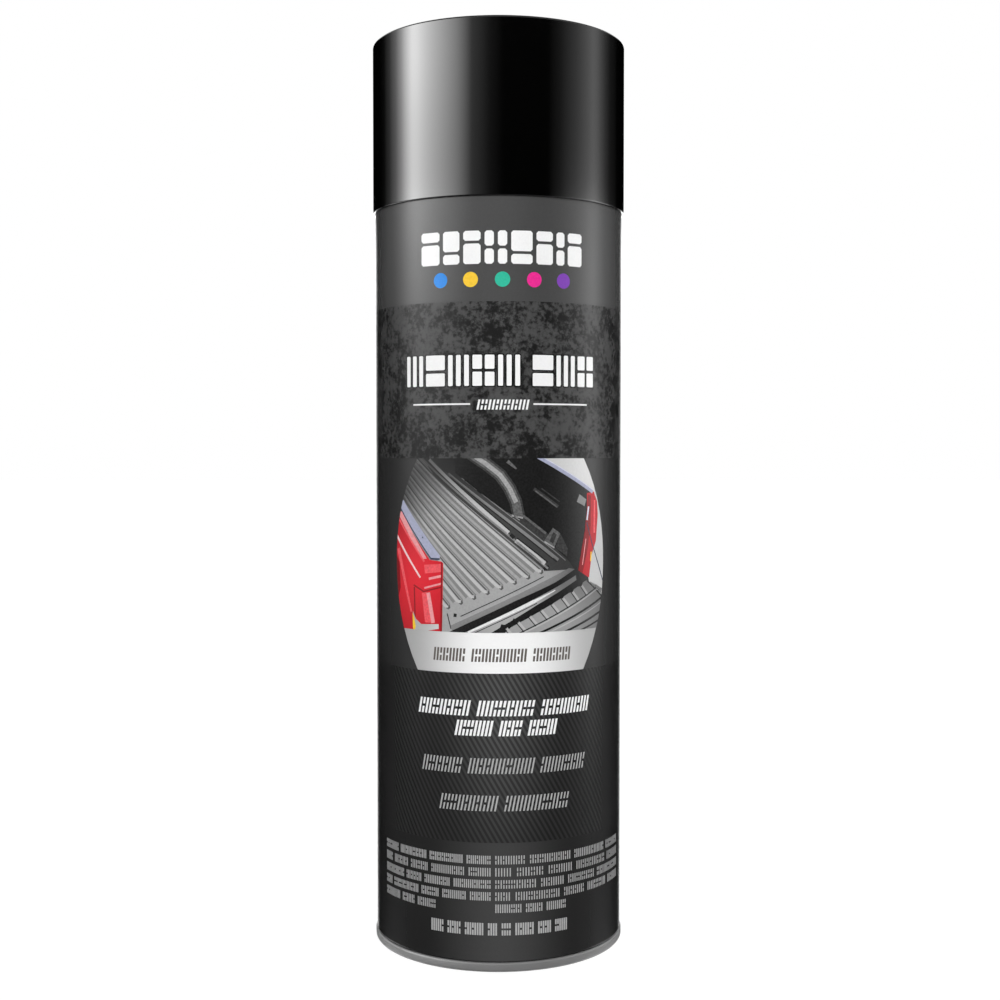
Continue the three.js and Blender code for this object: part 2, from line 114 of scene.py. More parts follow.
class Nodes:
    """Short calls for the nodes of one node tree."""

    def __init__(self, tree):
        self.tree = tree

    def make(self, kind, inputs=(), **settings):
        node = self.tree.nodes.new("ShaderNode" + kind)
        for name, value in settings.items():
            setattr(node, name, value)
        for name, value in dict(inputs).items():
            self.feed(node.inputs[name], value)
        return node

    def feed(self, socket, value):
        if isinstance(value, bpy.types.NodeSocket):
            self.tree.links.new(value, socket)
        else:
            socket.default_value = value

    def math(self, operation, first, second=0.0):
        return self.make("Math", {0: first, 1: second}, operation=operation).outputs[0]

    def span(self, value, low, high):
        """Spreads a value that runs from 0 to 1 over low to high."""
        return self.make("MapRange", {0: value, 3: low, 4: high}).outputs[0]

    def ramp(self, value, stops, curve="LINEAR"):
        """A colour from a value. Stops are (place, grey or colour)."""
        node = self.make("ValToRGB", {0: value})
        node.color_ramp.interpolation = curve
        elements = node.color_ramp.elements
        while len(elements) < len(stops):
            elements.new(1)
        for element, (place, colour) in zip(elements, stops):
            element.position = place
            element.color = rgba(colour)
        return node.outputs[0]

    def mix(self, factor, first, second, blend="MIX"):
        node = self.make("Mix", data_type="RGBA", blend_type=blend)
        self.feed(node.inputs[0], factor)
        self.feed(node.inputs[6], rgba(first))
        self.feed(node.inputs[7], rgba(second))
        return node.outputs[2]

    def place(self):
        return self.make("TexCoord").outputs["Object"]

    def noise(self, size, detail=2.0, roughness=0.5, stretch=(1, 1, 1)):
        """Noise whose features are about size millimetres, stretched along the axes."""
        scaled = self.make("Mapping", {"Vector": self.place(), "Scale": [1 / share for share in stretch]})
        inputs = {"Vector": scaled.outputs[0], "Scale": 1 / (size * MM)}
        inputs.update(Detail=detail, Roughness=roughness)
        return self.make("TexNoise", inputs).outputs[0]

    def print_place(self):
        """The distance round the can from the artwork's middle, and the height, in millimetres."""
        split = self.make("SeparateXYZ", {0: self.place()})
        towards_front = self.math("MULTIPLY", split.outputs[1], -1)
        angle = self.math("ARCTAN2", split.outputs[0], towards_front)
        along = self.math("MULTIPLY", angle, BODY_RADIUS)
        height = self.math("MULTIPLY", split.outputs[2], 1 / MM)
        return self.math("SUBTRACT", along, PRINT_TURN), height

    def glow(self, centre, reach, hold=0.0):
        """1 round a place of the print, over hold's share of its reach (along, up), then fading to 0."""
        along, height = self.print_place()
        offset_along = self.math("DIVIDE", self.math("SUBTRACT", along, centre[0]), reach[0])
        offset_up = self.math("DIVIDE", self.math("SUBTRACT", height, centre[1]), reach[1])
        both = [self.math("POWER", offset, 2) for offset in (offset_along, offset_up)]
        distance = self.math("SQRT", self.math("ADD", *both))
        return self.ramp(distance, [(hold, 1.0), (1.0, 0.0)], "EASE")


# ---- camera, light and floor

def add_object(name, data):
    """A new object that is linked into the scene."""
    thing = bpy.data.objects.new(name, data)
    bpy.context.scene.collection.objects.link(thing)
    return thing


def make_camera():
    data = bpy.data.cameras.new("camera")
    data.lens = 53.36
    data.sensor_width = 36
    data.shift_x = 0.0015
    data.clip_start = 0.01
    distance, height, down = 401, 131.2, 1.935  # the last in degrees
    camera = add_object("camera", data)
    camera.location = (0, -distance * MM, height * MM)
    camera.rotation_euler = (math.radians(90 - down), 0, 0)
    bpy.context.scene.camera = camera


# What shines on the can's gloss, by direction: degrees from straight in front, counted to the right,
# and radiance.
LEFT_BOX = ((-136, 0), (-126, 0.02), (-116, 0.3), (-106, 1.4), (-98, 4.2), (-91, 9.3), (-84, 14.8),
            (-78, 15.2), (-62, 10.8), (-38, 4.9), (-24, 0.8), (-8, 0.15), (4, 0))
RIGHT_BOX = ((45, 0), (57, 0.22), (74, 0.95), (94, 2.2), (100, 1.7), (106, 0.9), (113, 0.35),
             (121, 0.08), (137, 0))
LOW_BOXES = ((-150, 0), (-135, 5), (-115, 5), (-100, 0), (100, 0), (115, 5), (135, 5), (150, 0))
FLOOR_GLOW = ((-135, 0), (-110, 0.2), (-70, 0.4), (-20, 0.95), (50, 0.8), (112, 0.5), (135, 0))
# the same behind the can, in degrees from straight behind
BACK_BOX = ((-20, 0), (-11, 5), (11, 5), (20, 0))
# How strong each is by height: the sine of the elevation, from -1 to 1, and a share.
LEFT_REACH = ((-0.2, 0), (-0.04, 0.07), (0.08, 0.04), (0.11, 0.2), (0.14, 1.05), (0.158, 1.05),
              (0.172, 0.77), (0.215, 0.84), (0.25, 1), (0.32, 1), (0.5, 0))
RIGHT_REACH = ((-0.2, 0), (-0.06, 1.5), (0.09, 1.7), (0.12, 4), (0.148, 3.6), (0.158, 0.75),
               (0.3, 0.77), (0.5, 0))
LOW_REACH = ((-0.8, 0.8), (-0.46, 1), (-0.38, 0))
GLOW_REACH = ((-1, 0.5), (-0.2, 0.3), (-0.08, 0))
BACK_REACH = ((-0.7, 0.3), (-0.35, 0.8), (0.05, 0.8), (0.14, 1), (0.155, 0), (0.5, 0))
ALL_ROUND = ((-180, 1), (180, 1))
SKY_REACH = ((0.34, 0), (0.4, 1.8), (0.48, 1.8), (0.58, 0.3), (1, 0.5))


def light_by(nodes, value, stops, most=1):
    """A ramp over a value from -1 to 1, whose stops run from -most to most, and its greatest light."""
    peak = max(light for _, light in stops)
    shares = [((place / most + 1) / 2, light / peak) for place, light in stops]
    half = nodes.math("MULTIPLY", nodes.math("ADD", value, 1), 0.5)
    return nodes.ramp(half, shares), peak


def make_world():
    """White behind the can, and soft boxes round it that only its gloss sees."""
    world = bpy.data.worlds.new("studio")
    world.use_nodes = True
    world.cycles_visibility.diffuse = False
    bpy.context.scene.world = world
    tree = world.node_tree
    tree.nodes.clear()
    nodes = Nodes(tree)
    split = nodes.make("SeparateXYZ", {0: nodes.make("TexCoord").outputs["Generated"]})
    towards_front = nodes.math("MULTIPLY", split.outputs[1], -1)
    from_front = nodes.math("DIVIDE", nodes.math("ARCTAN2", split.outputs[0], towards_front), math.pi)
    from_back = nodes.math("DIVIDE", nodes.math("ARCTAN2", split.outputs[0], split.outputs[1]), math.pi)
    lights = (
        (from_front, LEFT_BOX, LEFT_REACH),
        (from_front, RIGHT_BOX, RIGHT_REACH),
        (from_front, LOW_BOXES, LOW_REACH),
        (from_front, FLOOR_GLOW, GLOW_REACH),
        (from_back, BACK_BOX, BACK_REACH),
        (from_front, ALL_ROUND, SKY_REACH),
    )
    total = nodes.make("Background", {"Color": rgba(0.0)})
    for turn, boxes, reach in lights:
        around, around_peak = light_by(nodes, turn, boxes, 180)
        up, up_peak = light_by(nodes, split.outputs[2], reach)
        both = nodes.mix(1.0, around, up, "MULTIPLY")
        light = nodes.make("Background", {"Color": both, "Strength": around_peak * up_peak})
        total = nodes.make("AddShader", {0: total.outputs[0], 1: light.outputs[0]})
    white = nodes.make("Background", {"Color": rgba(1.0)})
    seen = nodes.make("LightPath").outputs["Is Camera Ray"]
    shown = nodes.make("MixShader", {0: seen, 1: total.outputs[0], 2: white.outputs[0]})
    tree.links.new(shown.outputs[0], nodes.make("OutputWorld").inputs[0])


def make_suns():
    """Three soft suns a third of a turn apart, the strongest in front, for what isn't gloss."""
    above = 20  # degrees over level
    for i, energy in enumerate((3.4, 3.0, 1.9)):
        data = bpy.data.lights.new(f"sun_{i}", "SUN")
        data.energy = energy
        data.angle = math.radians(50)
        sun = add_object(f"sun_{i}", data)
        sun.rotation_euler = (math.radians(90 - above), 0, 2 * math.pi * i / 3)
        sun.visible_glossy = False


def make_floor():
    """A wide white floor that throws no light or reflection on the can."""
    reach = 6000
    mesh = bpy.data.meshes.new("floor")
    corners = [(-reach, -reach), (reach, -reach), (reach, reach), (-reach, reach)]
    mesh.from_pydata([(x * MM, y * MM, 0) for x, y in corners], [], [(0, 1, 2, 3)])
    floor = add_object("floor", mesh)
    material = bpy.data.materials.new("floor_white")
    material.use_nodes = True
    tree = material.node_tree
    tree.nodes.clear()
    nodes = Nodes(tree)
    matte = nodes.make("BsdfDiffuse", {"Color": rgba(0.2)})
    glow = nodes.make("Emission", {"Color": rgba(1.0), "Strength": 0.9})
    both = nodes.make("AddShader", {0: matte.outputs[0], 1: glow.outputs[0]})
    tree.links.new(both.outputs[0], nodes.make("OutputMaterial").inputs[0])
    mesh.materials.append(material)
    floor.visible_glossy = False
    floor.visible_diffuse = False


# ---- materials

class Look(Nodes):
    """A material of one Principled shader, and short calls for what feeds the shader."""

    def __init__(self, name, base=0.5, metallic=0.0, roughness=0.5, **sockets):
        self.material = bpy.data.materials.new(name)
        self.material.use_nodes = True
        super().__init__(self.material.node_tree)
        self.roughness = roughness
        self.set("Base Color", rgba(base))
        self.set("Metallic", metallic)
        self.set("Roughness", roughness)
        for key, value in sockets.items():
            self.set(key.replace("_", " "), value)

    def set(self, socket, value):
        self.feed(self.tree.nodes["Principled BSDF"].inputs[socket], value)

    def uneven_colour(self, base, less, more, pattern, low, high):
        """The base colour from a share less to a share more of it, as the pattern goes from low to high."""
        dark = [channel * (1 - less) for channel in rgba(base)[:3]]
        light = [min(1, channel * (1 + more)) for channel in rgba(base)[:3]]
        self.set("Base Color", self.ramp(pattern, [(low, dark), (high, light)]))

    def uneven_gloss(self, pattern, less, more):
        self.set("Roughness", self.span(pattern, self.roughness - less, self.roughness + more))

    def relief(self, pattern, depth):
        """Bumps of a depth in millimetres."""
        self.set("Normal", self.make("Bump", {"Height": pattern, "Distance": depth * MM}).outputs[0])

    def varnish(self, gloss=0.25):
        """The finished ink, under a satin varnish: slightly uneven gloss with a fine orange peel."""
        self.uneven_gloss(self.noise(11, detail=5, roughness=0.6), 0.04, 0.04)
        self.set("Specular IOR Level", gloss)
        self.relief(self.noise(1.3, detail=2), 0.003)
        return self.material


INK_ROUGHNESS = 0.25


def worn(name, base, metallic, roughness, spread=0.05, rough_spread=0.06, scuff=0.01, grain=0.6, **sockets):
    """Uneven colour and gloss, with fine scuffs."""
    look = Look(name, base, metallic, roughness, **sockets)
    look.uneven_colour(base, spread, spread, look.noise(9, detail=5, roughness=0.6), 0.35, 0.65)
    look.uneven_gloss(look.noise(4, detail=6, roughness=0.65), rough_spread, rough_spread)
    look.relief(look.noise(grain, detail=3), scuff)
    return look.material


def drawn_metal(name, base, roughness, metallic=1.0):
    """Sheet steel with faint tool marks round it."""
    look = Look(name, base, metallic, roughness)
    look.uneven_colour(base, 0.1, 0.06, look.noise(14, detail=4), 0.3, 0.7)
    look.uneven_gloss(look.noise(5, detail=6, roughness=0.7), 0.07, 0.09)
    look.relief(look.noise(0.5, detail=3, stretch=(30, 30, 1)), 0.006)
    return look.material


def ink(name, colour, spread):
    """One printing ink, a little uneven, under the varnish."""
    look = Look("ink_" + name, colour, roughness=INK_ROUGHNESS)
    look.uneven_colour(colour, spread, spread, look.noise(0.5, detail=2), 0.3, 0.7)
    return look.varnish()


def shaded_ink(name, dark, light, centre, reach, hold=0.0, grain=0.06):
    """An ink that is lighter round one place of the artwork, and evenly so over hold's share of its reach."""
    look = Look("ink_" + name, dark, roughness=INK_ROUGHNESS)
    shade = look.mix(look.glow(centre, reach, hold), dark, light)
    speckle = look.ramp(look.noise(0.5, detail=2), [(0.3, 1 - grain), (0.7, 1.0)])
    look.set("Base Color", look.mix(1.0, shade, speckle, "MULTIPLY"))
    return look.varnish()


def stone_ink():
    """Grey stone: small soft flecks that crowd together into darker patches; painted shade darkens its sides.
    """
    look = Look("ink_stone_painted_side_shade", 0.04, roughness=INK_ROUGHNESS)
    flecks = look.math("MULTIPLY", look.noise(1.3, detail=4, roughness=0.66), 0.55)
    patches = look.math("MULTIPLY", look.noise(6, detail=3, roughness=0.55), 0.45)
    crowd = look.math("ADD", flecks, patches)
    colour = look.ramp(crowd, [(0.42, 0.012), (0.47, 0.026), (0.51, 0.055), (0.58, 0.074)])
    # painted shade: away from the can's front the stone is darkened to 0.62 of its colour
    edge = look.mix(1.0, colour, 0.62, "MULTIPLY")
    look.set("Base Color", look.mix(look.glow((0, 150), (48, 90), 0.3), edge, colour))
    return look.varnish(gloss=0.15)


def pinstripe_ink():
    """Dark slanting pinstripes, lit from a soft glow near the top of their band."""
    pitch = 1.4
    slope = 60  # degrees from level, falling to the right
    look = Look("ink_pinstripes", 0.02, roughness=INK_ROUGHNESS)
    along, height = look.print_place()
    lean = look.math("DIVIDE", height, math.tan(math.radians(slope)))
    phase = look.math("MULTIPLY", look.math("ADD", along, lean), 2 * math.pi / pitch)
    wave = look.math("ADD", look.math("MULTIPLY", look.math("SINE", phase), 0.5), 0.5)
    stripes = look.ramp(wave, [(0.2, 0.0105), (0.8, 0.022)], "EASE")
    lit = look.mix(look.glow((0, 72), (19, 62)), 0.9, 3.6)
    look.set("Base Color", look.mix(1.0, stripes, lit, "MULTIPLY"))
    return look.varnish()


# ---- meshes

def make_piece(name, shape, materials, body, node=None, sharp=32):
    """A piece from a bmesh in millimetres, smooth but for edges sharper than an angle in degrees.
    It rides on a body, gets the given materials, and may stand for a CAD node, which it hides."""
    bmesh.ops.recalc_face_normals(shape, faces=shape.faces)
    bmesh.ops.scale(shape, vec=(MM, MM, MM), verts=shape.verts)
    mesh = bpy.data.meshes.new(name)
    shape.to_mesh(mesh)
    shape.free()
    mesh.shade_smooth()
    mesh.set_sharp_from_angle(angle=math.radians(sharp))
    for material in materials:
        mesh.materials.append(material)
    piece = add_object(name, mesh)
    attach(piece, body)
    if node:
        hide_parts(node)
    return piece


def rounded(corners, closed=False, steps=5):
    """A path through corners (radius, height) or, where it is rounded off, (radius, height, fillet).
    A point just outside each fillet keeps the shading of the straight runs straight."""
    path = []
    last = len(corners) - 1
    support = 0.12
    for i, corner in enumerate(corners):
        here = Vector(corner[:2])
        if len(corner) < 3 or (not closed and i in (0, last)):
            path.append(here)
            continue
        before = Vector(corners[i - 1][:2]) - here
        after = Vector(corners[(i + 1) % len(corners)][:2]) - here
        half = before.angle(after) / 2
        reach = min(corner[2] / math.tan(half), before.length * 0.49, after.length * 0.49)
        fillet = reach * math.tan(half)
        centre = here + (before.normalized() + after.normalized()).normalized() * fillet / math.sin(half)
        start = here + before.normalized() * reach - centre
        end = here + after.normalized() * reach - centre
        swing = math.atan2(start.x * end.y - start.y * end.x, start.dot(end))
        if before.length > 2.5 * (reach + support):
            path.append(here + before.normalized() * (reach + support))
        for k in range(steps + 1):
            turn = swing * k / steps
            spoke = (start.x * math.cos(turn) - start.y * math.sin(turn),
                     start.x * math.sin(turn) + start.y * math.cos(turn))
            path.append(centre + Vector(spoke))
        if after.length > 2.5 * (reach + support):
            path.append(here + after.normalized() * (reach + support))
    return path


def arc(centre, radius, start, end, steps):
    """Points on an arc, in degrees from straight outwards to straight up."""
    turns = [math.radians(start + (end - start) * i / steps) for i in range(steps + 1)]
    return [Vector((centre[0] + radius * math.cos(t), centre[1] + radius * math.sin(t))) for t in turns]


def sheet_outline(path, thickness):
    """The outline of a sheet of even thickness whose middle follows a path."""
    normals = []
    for here, there in zip(path, path[1:]):
        run = (there - here).normalized()
        normals.append(Vector((-run.y, run.x)))
    offsets = []
    for i, point in enumerate(path):
        before = normals[max(i - 1, 0)]
        after = normals[min(i, len(normals) - 1)]
        if point.x == 0:
            offsets.append(Vector((0, math.copysign(thickness / 2, after.y))))
        else:
            offsets.append((before + after) * thickness / 2 / (1 + before.dot(after)))
    one = [point + offset for point, offset in zip(path, offsets)]
    other = [point - offset for point, offset in zip(path, offsets)]
    return one + other[::-1]


def lathe(outline, steps=ROUND, band=None):
    """A solid turned about Z. Its outline starts and ends on the axis, or closes on itself.
    Band gives a ring of faces its material from the two (radius, height) points it lies between."""
    shape = bmesh.new()
    angles = [2 * math.pi * i / steps for i in range(steps)]
    rings = []
    for radius, height in outline:
        if radius == 0:
            rings.append([shape.verts.new((0, 0, height))])
        else:
            spots = [(radius * math.sin(angle), -radius * math.cos(angle), height) for angle in angles]
            rings.append([shape.verts.new(spot) for spot in spots])
    if outline[0][0] == 0:
        pairs = list(zip(range(len(rings)), range(1, len(rings))))
    else:
        pairs = [(i, (i + 1) % len(rings)) for i in range(len(rings))]
    for low, high in pairs:
        material = band(outline[low], outline[high]) if band else 0
        for i in range(steps):
            j = (i + 1) % steps
            corners = [rings[low][i % len(rings[low])], rings[low][j % len(rings[low])],
                       rings[high][j % len(rings[high])], rings[high][i % len(rings[high])]]
            corners = list(dict.fromkeys(corners))
            if len(corners) > 2:
                shape.faces.new(corners).material_index = material
    return shape


def box_shape(low, high):
    shape = bmesh.new()
    bmesh.ops.create_cube(shape, size=1)
    bmesh.ops.scale(shape, vec=Vector(high) - Vector(low), verts=shape.verts)
    bmesh.ops.translate(shape, vec=(Vector(low) + Vector(high)) / 2, verts=shape.verts)
    return shape


def face_front(shape, height):
    """Turns a shape made along +Z to face -Y at a height."""
    turn = Matrix.Translation((0, 0, height)) @ Matrix.Rotation(math.pi / 2, 4, "X")
    bmesh.ops.transform(shape, matrix=turn, verts=shape.verts)
    return shape


def combine(base, operation, *tools):
    """The base with each tool joined to it or cut from it, all as bmeshes."""
    made = add_object("base", bpy.data.meshes.new("base"))
    bmesh.ops.recalc_face_normals(base, faces=base.faces)
    base.to_mesh(made.data)
    base.free()
    helpers = [made]
    for tool in tools:
        helper = add_object("tool", bpy.data.meshes.new("tool"))
        bmesh.ops.recalc_face_normals(tool, faces=tool.faces)
        tool.to_mesh(helper.data)
        tool.free()
        helpers.append(helper)
        modifier = made.modifiers.new("combine", "BOOLEAN")
        modifier.object = helper
        modifier.operation = operation
        modifier.solver = "EXACT"
    shape = bmesh.new()
    shape.from_object(made, bpy.context.evaluated_depsgraph_get())
    for helper in helpers:
        bpy.data.meshes.remove(helper.data)
    sliver = 0.002
    bmesh.ops.remove_doubles(shape, verts=shape.verts, dist=sliver)
    bmesh.ops.dissolve_degenerate(shape, edges=shape.edges, dist=sliver)
    return shape


def swept(points, radius, sides):
    """A round wire along points, with flat ends."""
    shape = bmesh.new()
    turns = [2 * math.pi * k / sides for k in range(sides)]
    rings = []
    for i, point in enumerate(points):
        run = (points[min(i + 1, len(points) - 1)] - points[max(i - 1, 0)]).normalized()
        side = run.cross(Vector((0, 0, 1))).normalized()
        other = run.cross(side)
        spokes = [side * math.cos(turn) + other * math.sin(turn) for turn in turns]
        rings.append([shape.verts.new(point + spoke * radius) for spoke in spokes])
    for low, high in zip(rings, rings[1:]):
        for k in range(sides):
            j = (k + 1) % sides
            shape.faces.new((low[k], low[j], high[j], high[k]))
    shape.faces.new(rings[0])
    shape.faces.new(rings[-1])
    return shape


# ---- double seams

class Seam:
    """The five rolled layers that join an end to the body, counted outwards from the body's neck."""

    def __init__(self, radius, free_end, inward):
        self.neck = radius - SEAM_WIDTH
        self.free_end = free_end
        self.inward = inward

    def spot(self, layer, depth):
        return Vector((self.neck + layer * SEAM_LAYER, self.free_end + self.inward * depth))

    def bend(self, first, last, depth, rise):
        middle = (first + last) / 2
        half = (first - last) / 2
        lift = rise * abs(half) * SEAM_LAYER
        turns = [math.pi * i / 10 for i in range(11)]
        return [self.spot(middle + half * math.cos(t), depth + lift * math.sin(t)) for t in turns]

    def body_hook(self):
        return [self.spot(2, 2)] + self.bend(2, 0, 1.1, -1)

    def end_hook(self):
        curl = self.bend(-1, 3, 2 * SEAM_LAYER + END_SHEET / 2, -1)
        hook = self.bend(3, 1, SEAM_LENGTH - END_SHEET / 2 - SEAM_LAYER, 1)
        return curl + hook + [self.spot(1, 1.2)]

    def compound(self):
        """The sealing compound in the bend between the body's flange and the end's curl."""
        sides = ((0.55, 0.37), (1.45, 0.37), (1.45, 0.6), (0.55, 0.6))
        return rounded([(*self.spot(layer, depth), 0.08) for layer, depth in sides], closed=True, steps=3)


BOTTOM_SEAM = Seam(BOTTOM_SEAM_RADIUS, 0, 1)
TOP_SEAM = Seam(TOP_SEAM_RADIUS, CAN_HEIGHT, -1)


# ---- can

def build_body(inks, bare):
    """The printed wall, with its flanges rolled into the seams, in bands of ink."""
    wall = BODY_RADIUS - BODY_SHEET / 2
    edges = [PINSTRIPES_BOTTOM, WINDOW_BAND_BOTTOM, STONE_BOTTOM, STONE_TOP]
    foot = rounded([BOTTOM_SEAM.spot(0, SEAM_LENGTH - 0.8), (*BOTTOM_SEAM.spot(0, SEAM_LENGTH - 0.3), 0.4),
                    (wall, SEAM_LENGTH + 0.4, 0.3), (wall, PINSTRIPES_BOTTOM)])
    shoulder = rounded([(wall, STONE_TOP), (wall, CAP_BOTTOM + 0.25, 0.15),
                        (wall - 0.5, CAP_BOTTOM + 0.75, 0.5), TOP_SEAM.spot(0, SEAM_LENGTH + 0.1)])
    middle = [Vector((wall, edge)) for edge in edges[1:-1]]
    path = BOTTOM_SEAM.body_hook() + foot + middle + shoulder + TOP_SEAM.body_hook()[::-1]

    def band(first, second):
        """The band of ink that a ring of faces lies in. The wall's inside is bare."""
        height = (first[1] + second[1]) / 2
        if max(first[0], second[0]) < BODY_RADIUS - 0.05 and SEAM_LENGTH + 1 < height < CAP_BOTTOM - 1:
            return len(inks)
        return sum(height > edge for edge in edges)

    shape = lathe(sheet_outline(path, BODY_SHEET), band=band)
    make_piece("printed_body", shape, inks + [bare], "can", "can_body")


def build_base(tinplate, compound):
    """The domed base, rolled into the bottom seam that the can stands on."""
    knee_radius = 1.2
    knee_centre = (BOTTOM_SEAM.spot(-1, 0).x - knee_radius, 3)
    knee = arc(knee_centre, knee_radius, 110, 0, 6)
    top = BASE_TOP - END_SHEET / 2
    rise = top - knee[0].y
    sphere = (knee[0].x ** 2 + rise ** 2) / (2 * rise)
    edge = math.degrees(math.acos(knee[0].x / sphere))
    dome = [Vector((0, top))] + arc((0, top - sphere), sphere, 90, edge, 14)[1:-1]
    outline = sheet_outline(dome + knee + BOTTOM_SEAM.end_hook(), END_SHEET)
    make_piece("domed_base", lathe(outline), [tinplate], "can", "base_end")
    for node, seam in (("base_seam_compound", BOTTOM_SEAM), ("top_seam_compound", TOP_SEAM)):
        make_piece(node + "_bead", lathe(seam.compound()), [compound], "can", node)


CURL_CENTRE = (14, 209.9)
CURL_RADIUS = 1.25
CONE_RIM = (15.4, 206.2)


def build_cone(tinplate):
    """The cone top, from the curl of its one-inch opening down to the top seam."""
    curl = arc(CURL_CENTRE, CURL_RADIUS, -60, 180, 18)
    opening = CURL_CENTRE[0] - CURL_RADIUS
    wall = TOP_SEAM.spot(-1, 3.4)
    steep_angle, shallow_angle = 58, 22
    countersink = arc((wall.x - 1, wall.y), 1, -90 - steep_angle, 0, 10)
    foot = countersink[0]
    neck = rounded([(opening, 209.6), (opening, 208, 0.8), (opening + 0.85, CONE_RIM[1] + 0.7, 0.6),
                    (CONE_RIM[0], CONE_RIM[1] - 0.05)])
    # the cone is steep by the countersink and flattens towards the opening
    steep = math.tan(math.radians(steep_angle))
    shallow = math.tan(math.radians(shallow_angle))
    run = (steep * (foot.x - CONE_RIM[0]) - (CONE_RIM[1] - foot.y)) / (steep - shallow)
    bend = Vector((CONE_RIM[0] + run, CONE_RIM[1] - shallow * run))
    rim = Vector(CONE_RIM)
    shares = [i / 16 for i in range(1, 16)]
    cone = [rim * (1 - t) ** 2 + bend * 2 * t * (1 - t) + foot * t ** 2 for t in shares]
    path = curl + neck + cone + countersink + TOP_SEAM.end_hook()
    shape = lathe(sheet_outline(path, END_SHEET))
    make_piece("cone_top", shape, [tinplate], "can", "top_dome")


# ---- valve

def build_valve(looks):
    """The valve cup, clinched under the opening, and what it holds."""
    cup_radius = CURL_RADIUS + 0.72
    rim = arc(CURL_CENTRE, cup_radius, -20, 180, 16)
    floor = 204.6
    well = rounded([
        rim[-1], (rim[-1].x, 208.2, 0.5), (12.9, 206.6, 0.3), (12.9, 206, 0.3), (12.1, floor + 0.6, 0.6),
        (11.2, floor, 0.6), (6.8, floor, 0.6), (5.8, floor + 0.4, 0.5), (4.62, floor + 1.4, 0.4),
        (5.2, floor + 2.8, 0.5), (5.2, 210.6, 0.5), (4.5, 211.4, 0.5), (STEM_RADIUS + 0.4, 211.4)], steps=4)
    cup = lathe(sheet_outline(rim[:-1] + well, END_SHEET))
    # the collet that swaged the cup under the opening left eight shallow flats in its wall
    flats, flat_depth, flat_height, flat_reach = 8, 0.12, 206.8, 1.6
    for vertex in cup.verts:
        radius = math.hypot(vertex.co.x, vertex.co.y)
        near = max(0, 1 - abs(vertex.co.z - flat_height) / flat_reach)
        if 11.5 < radius < 13.3 and near > 0:
            turn = math.atan2(vertex.co.y, vertex.co.x)
            pinch = flat_depth * near * max(0, math.cos(flats * turn)) ** 6
            vertex.co.xy *= 1 - pinch / radius
    make_piece("valve_cup", cup, [looks["cup"]], "can", "mounting_cup")

    inside = CURL_RADIUS + END_SHEET / 2 + 0.06
    ring = arc(CURL_CENTRE, inside, 20, 140, 12) + arc(CURL_CENTRE, inside + 0.3, 140, 20, 12)
    make_piece("cup_gasket_ring", lathe(ring), [looks["rubber"]], "can", "cup_gasket")

    washer_bore, washer_rim = STEM_RADIUS + 0.05, 4.6
    washer_bottom, washer_top = lowest("stem_gasket").z, highest("stem_gasket").z
    corners = [(washer_bore, washer_bottom, 0.15), (washer_rim, washer_bottom, 0.15),
               (washer_rim, washer_top, 0.15), (washer_bore, washer_top, 0.15)]
    washer = lathe(rounded(corners, closed=True, steps=3), SMALL_ROUND)
    make_piece("stem_gasket_disc", washer, [looks["rubber"]], "can", "stem_gasket")

    build_housing(looks["natural"])
    build_stem(looks["natural"])
    build_spring(looks["wire"])


def build_housing(plastic):
    """The valve's housing: a cup for the spring and stem, over the tailpiece that the dip tube grips."""
    tail, rim = lowest("valve_housing").z, highest("valve_housing").z
    shelf, inner_floor = 198.5, 199.7
    collar = 206.9
    corners = [(0.8, tail), (1.4, tail, 0.1), (1.7, tail + 1, 0.4), (1.7, shelf, 0.3), (4.2, shelf, 0.4),
               (4.2, collar - 0.5, 0.2), (4.7, collar, 0.2), (4.7, rim, 0.2), (3.3, rim, 0.1),
               (3.3, inner_floor, 0.3), (0.8, inner_floor, 0.2)]
    shape = lathe(rounded(corners, closed=True, steps=3), SMALL_ROUND)
    make_piece("housing_shell", shape, [plastic], "can", "valve_housing")


def build_stem(plastic):
    """The hollow stem: a flange that seals under the washer, and a side hole just over the bore's floor."""
    foot, flange, bore_floor, side_hole = 204.4, 207.9, 210.2, 210.7
    corners = [(0, foot), (1.1, foot, 0.1), (1.4, foot + 0.4, 0.2), (1.4, flange, 0.2), (2.9, flange, 0.15),
               (2.9, flange + 2, 0.25), (STEM_RADIUS, flange + 2, 0.15), (STEM_RADIUS, STEM_TOP, 0.35),
               (0.9, STEM_TOP, 0.2), (0.9, bore_floor, 0.3), (0, bore_floor)]
    hole = lathe([(0, -3), (0.3, -3), (0.3, 3), (0, 3)], 24)
    across = Matrix.Translation((0, 0, side_hole)) @ Matrix.Rotation(math.pi / 2, 4, "Y")
    bmesh.ops.transform(hole, matrix=across, verts=hole.verts)
    stem = combine(lathe(rounded(corners, steps=3), SMALL_ROUND), "DIFFERENCE", hole)
    make_piece("stem_tube", stem, [plastic], "stem", "valve_stem")


def build_spring(material):
    """The coil spring that lifts the stem. One turn at each end is wound closed."""
    wire = 0.225
    coil = 2.5
    turns = 7
    low = SPRING_BOTTOM + wire
    open_height = SPRING_TOP - SPRING_BOTTOM - 6 * wire
    steps = 40  # in each turn
    points = []
    for i in range(steps * turns + 1):
        turn = i / steps
        open_share = min(max((turn - 1) / (turns - 2), 0), 1)
        closed_turns = min(turn, 1) + max(turn - turns + 1, 0)
        angle = 2 * math.pi * turn
        height = low + 2 * wire * closed_turns + open_height * open_share
        points.append(Vector((coil * math.cos(angle), coil * math.sin(angle), height)))
    shape = swept(points, wire, 10)
    spring = make_piece("stem_spring", shape, [material], "can", "valve_spring", sharp=60)
    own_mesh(spring)


# ---- button and overcap

NOZZLE_HEIGHT = 221.2


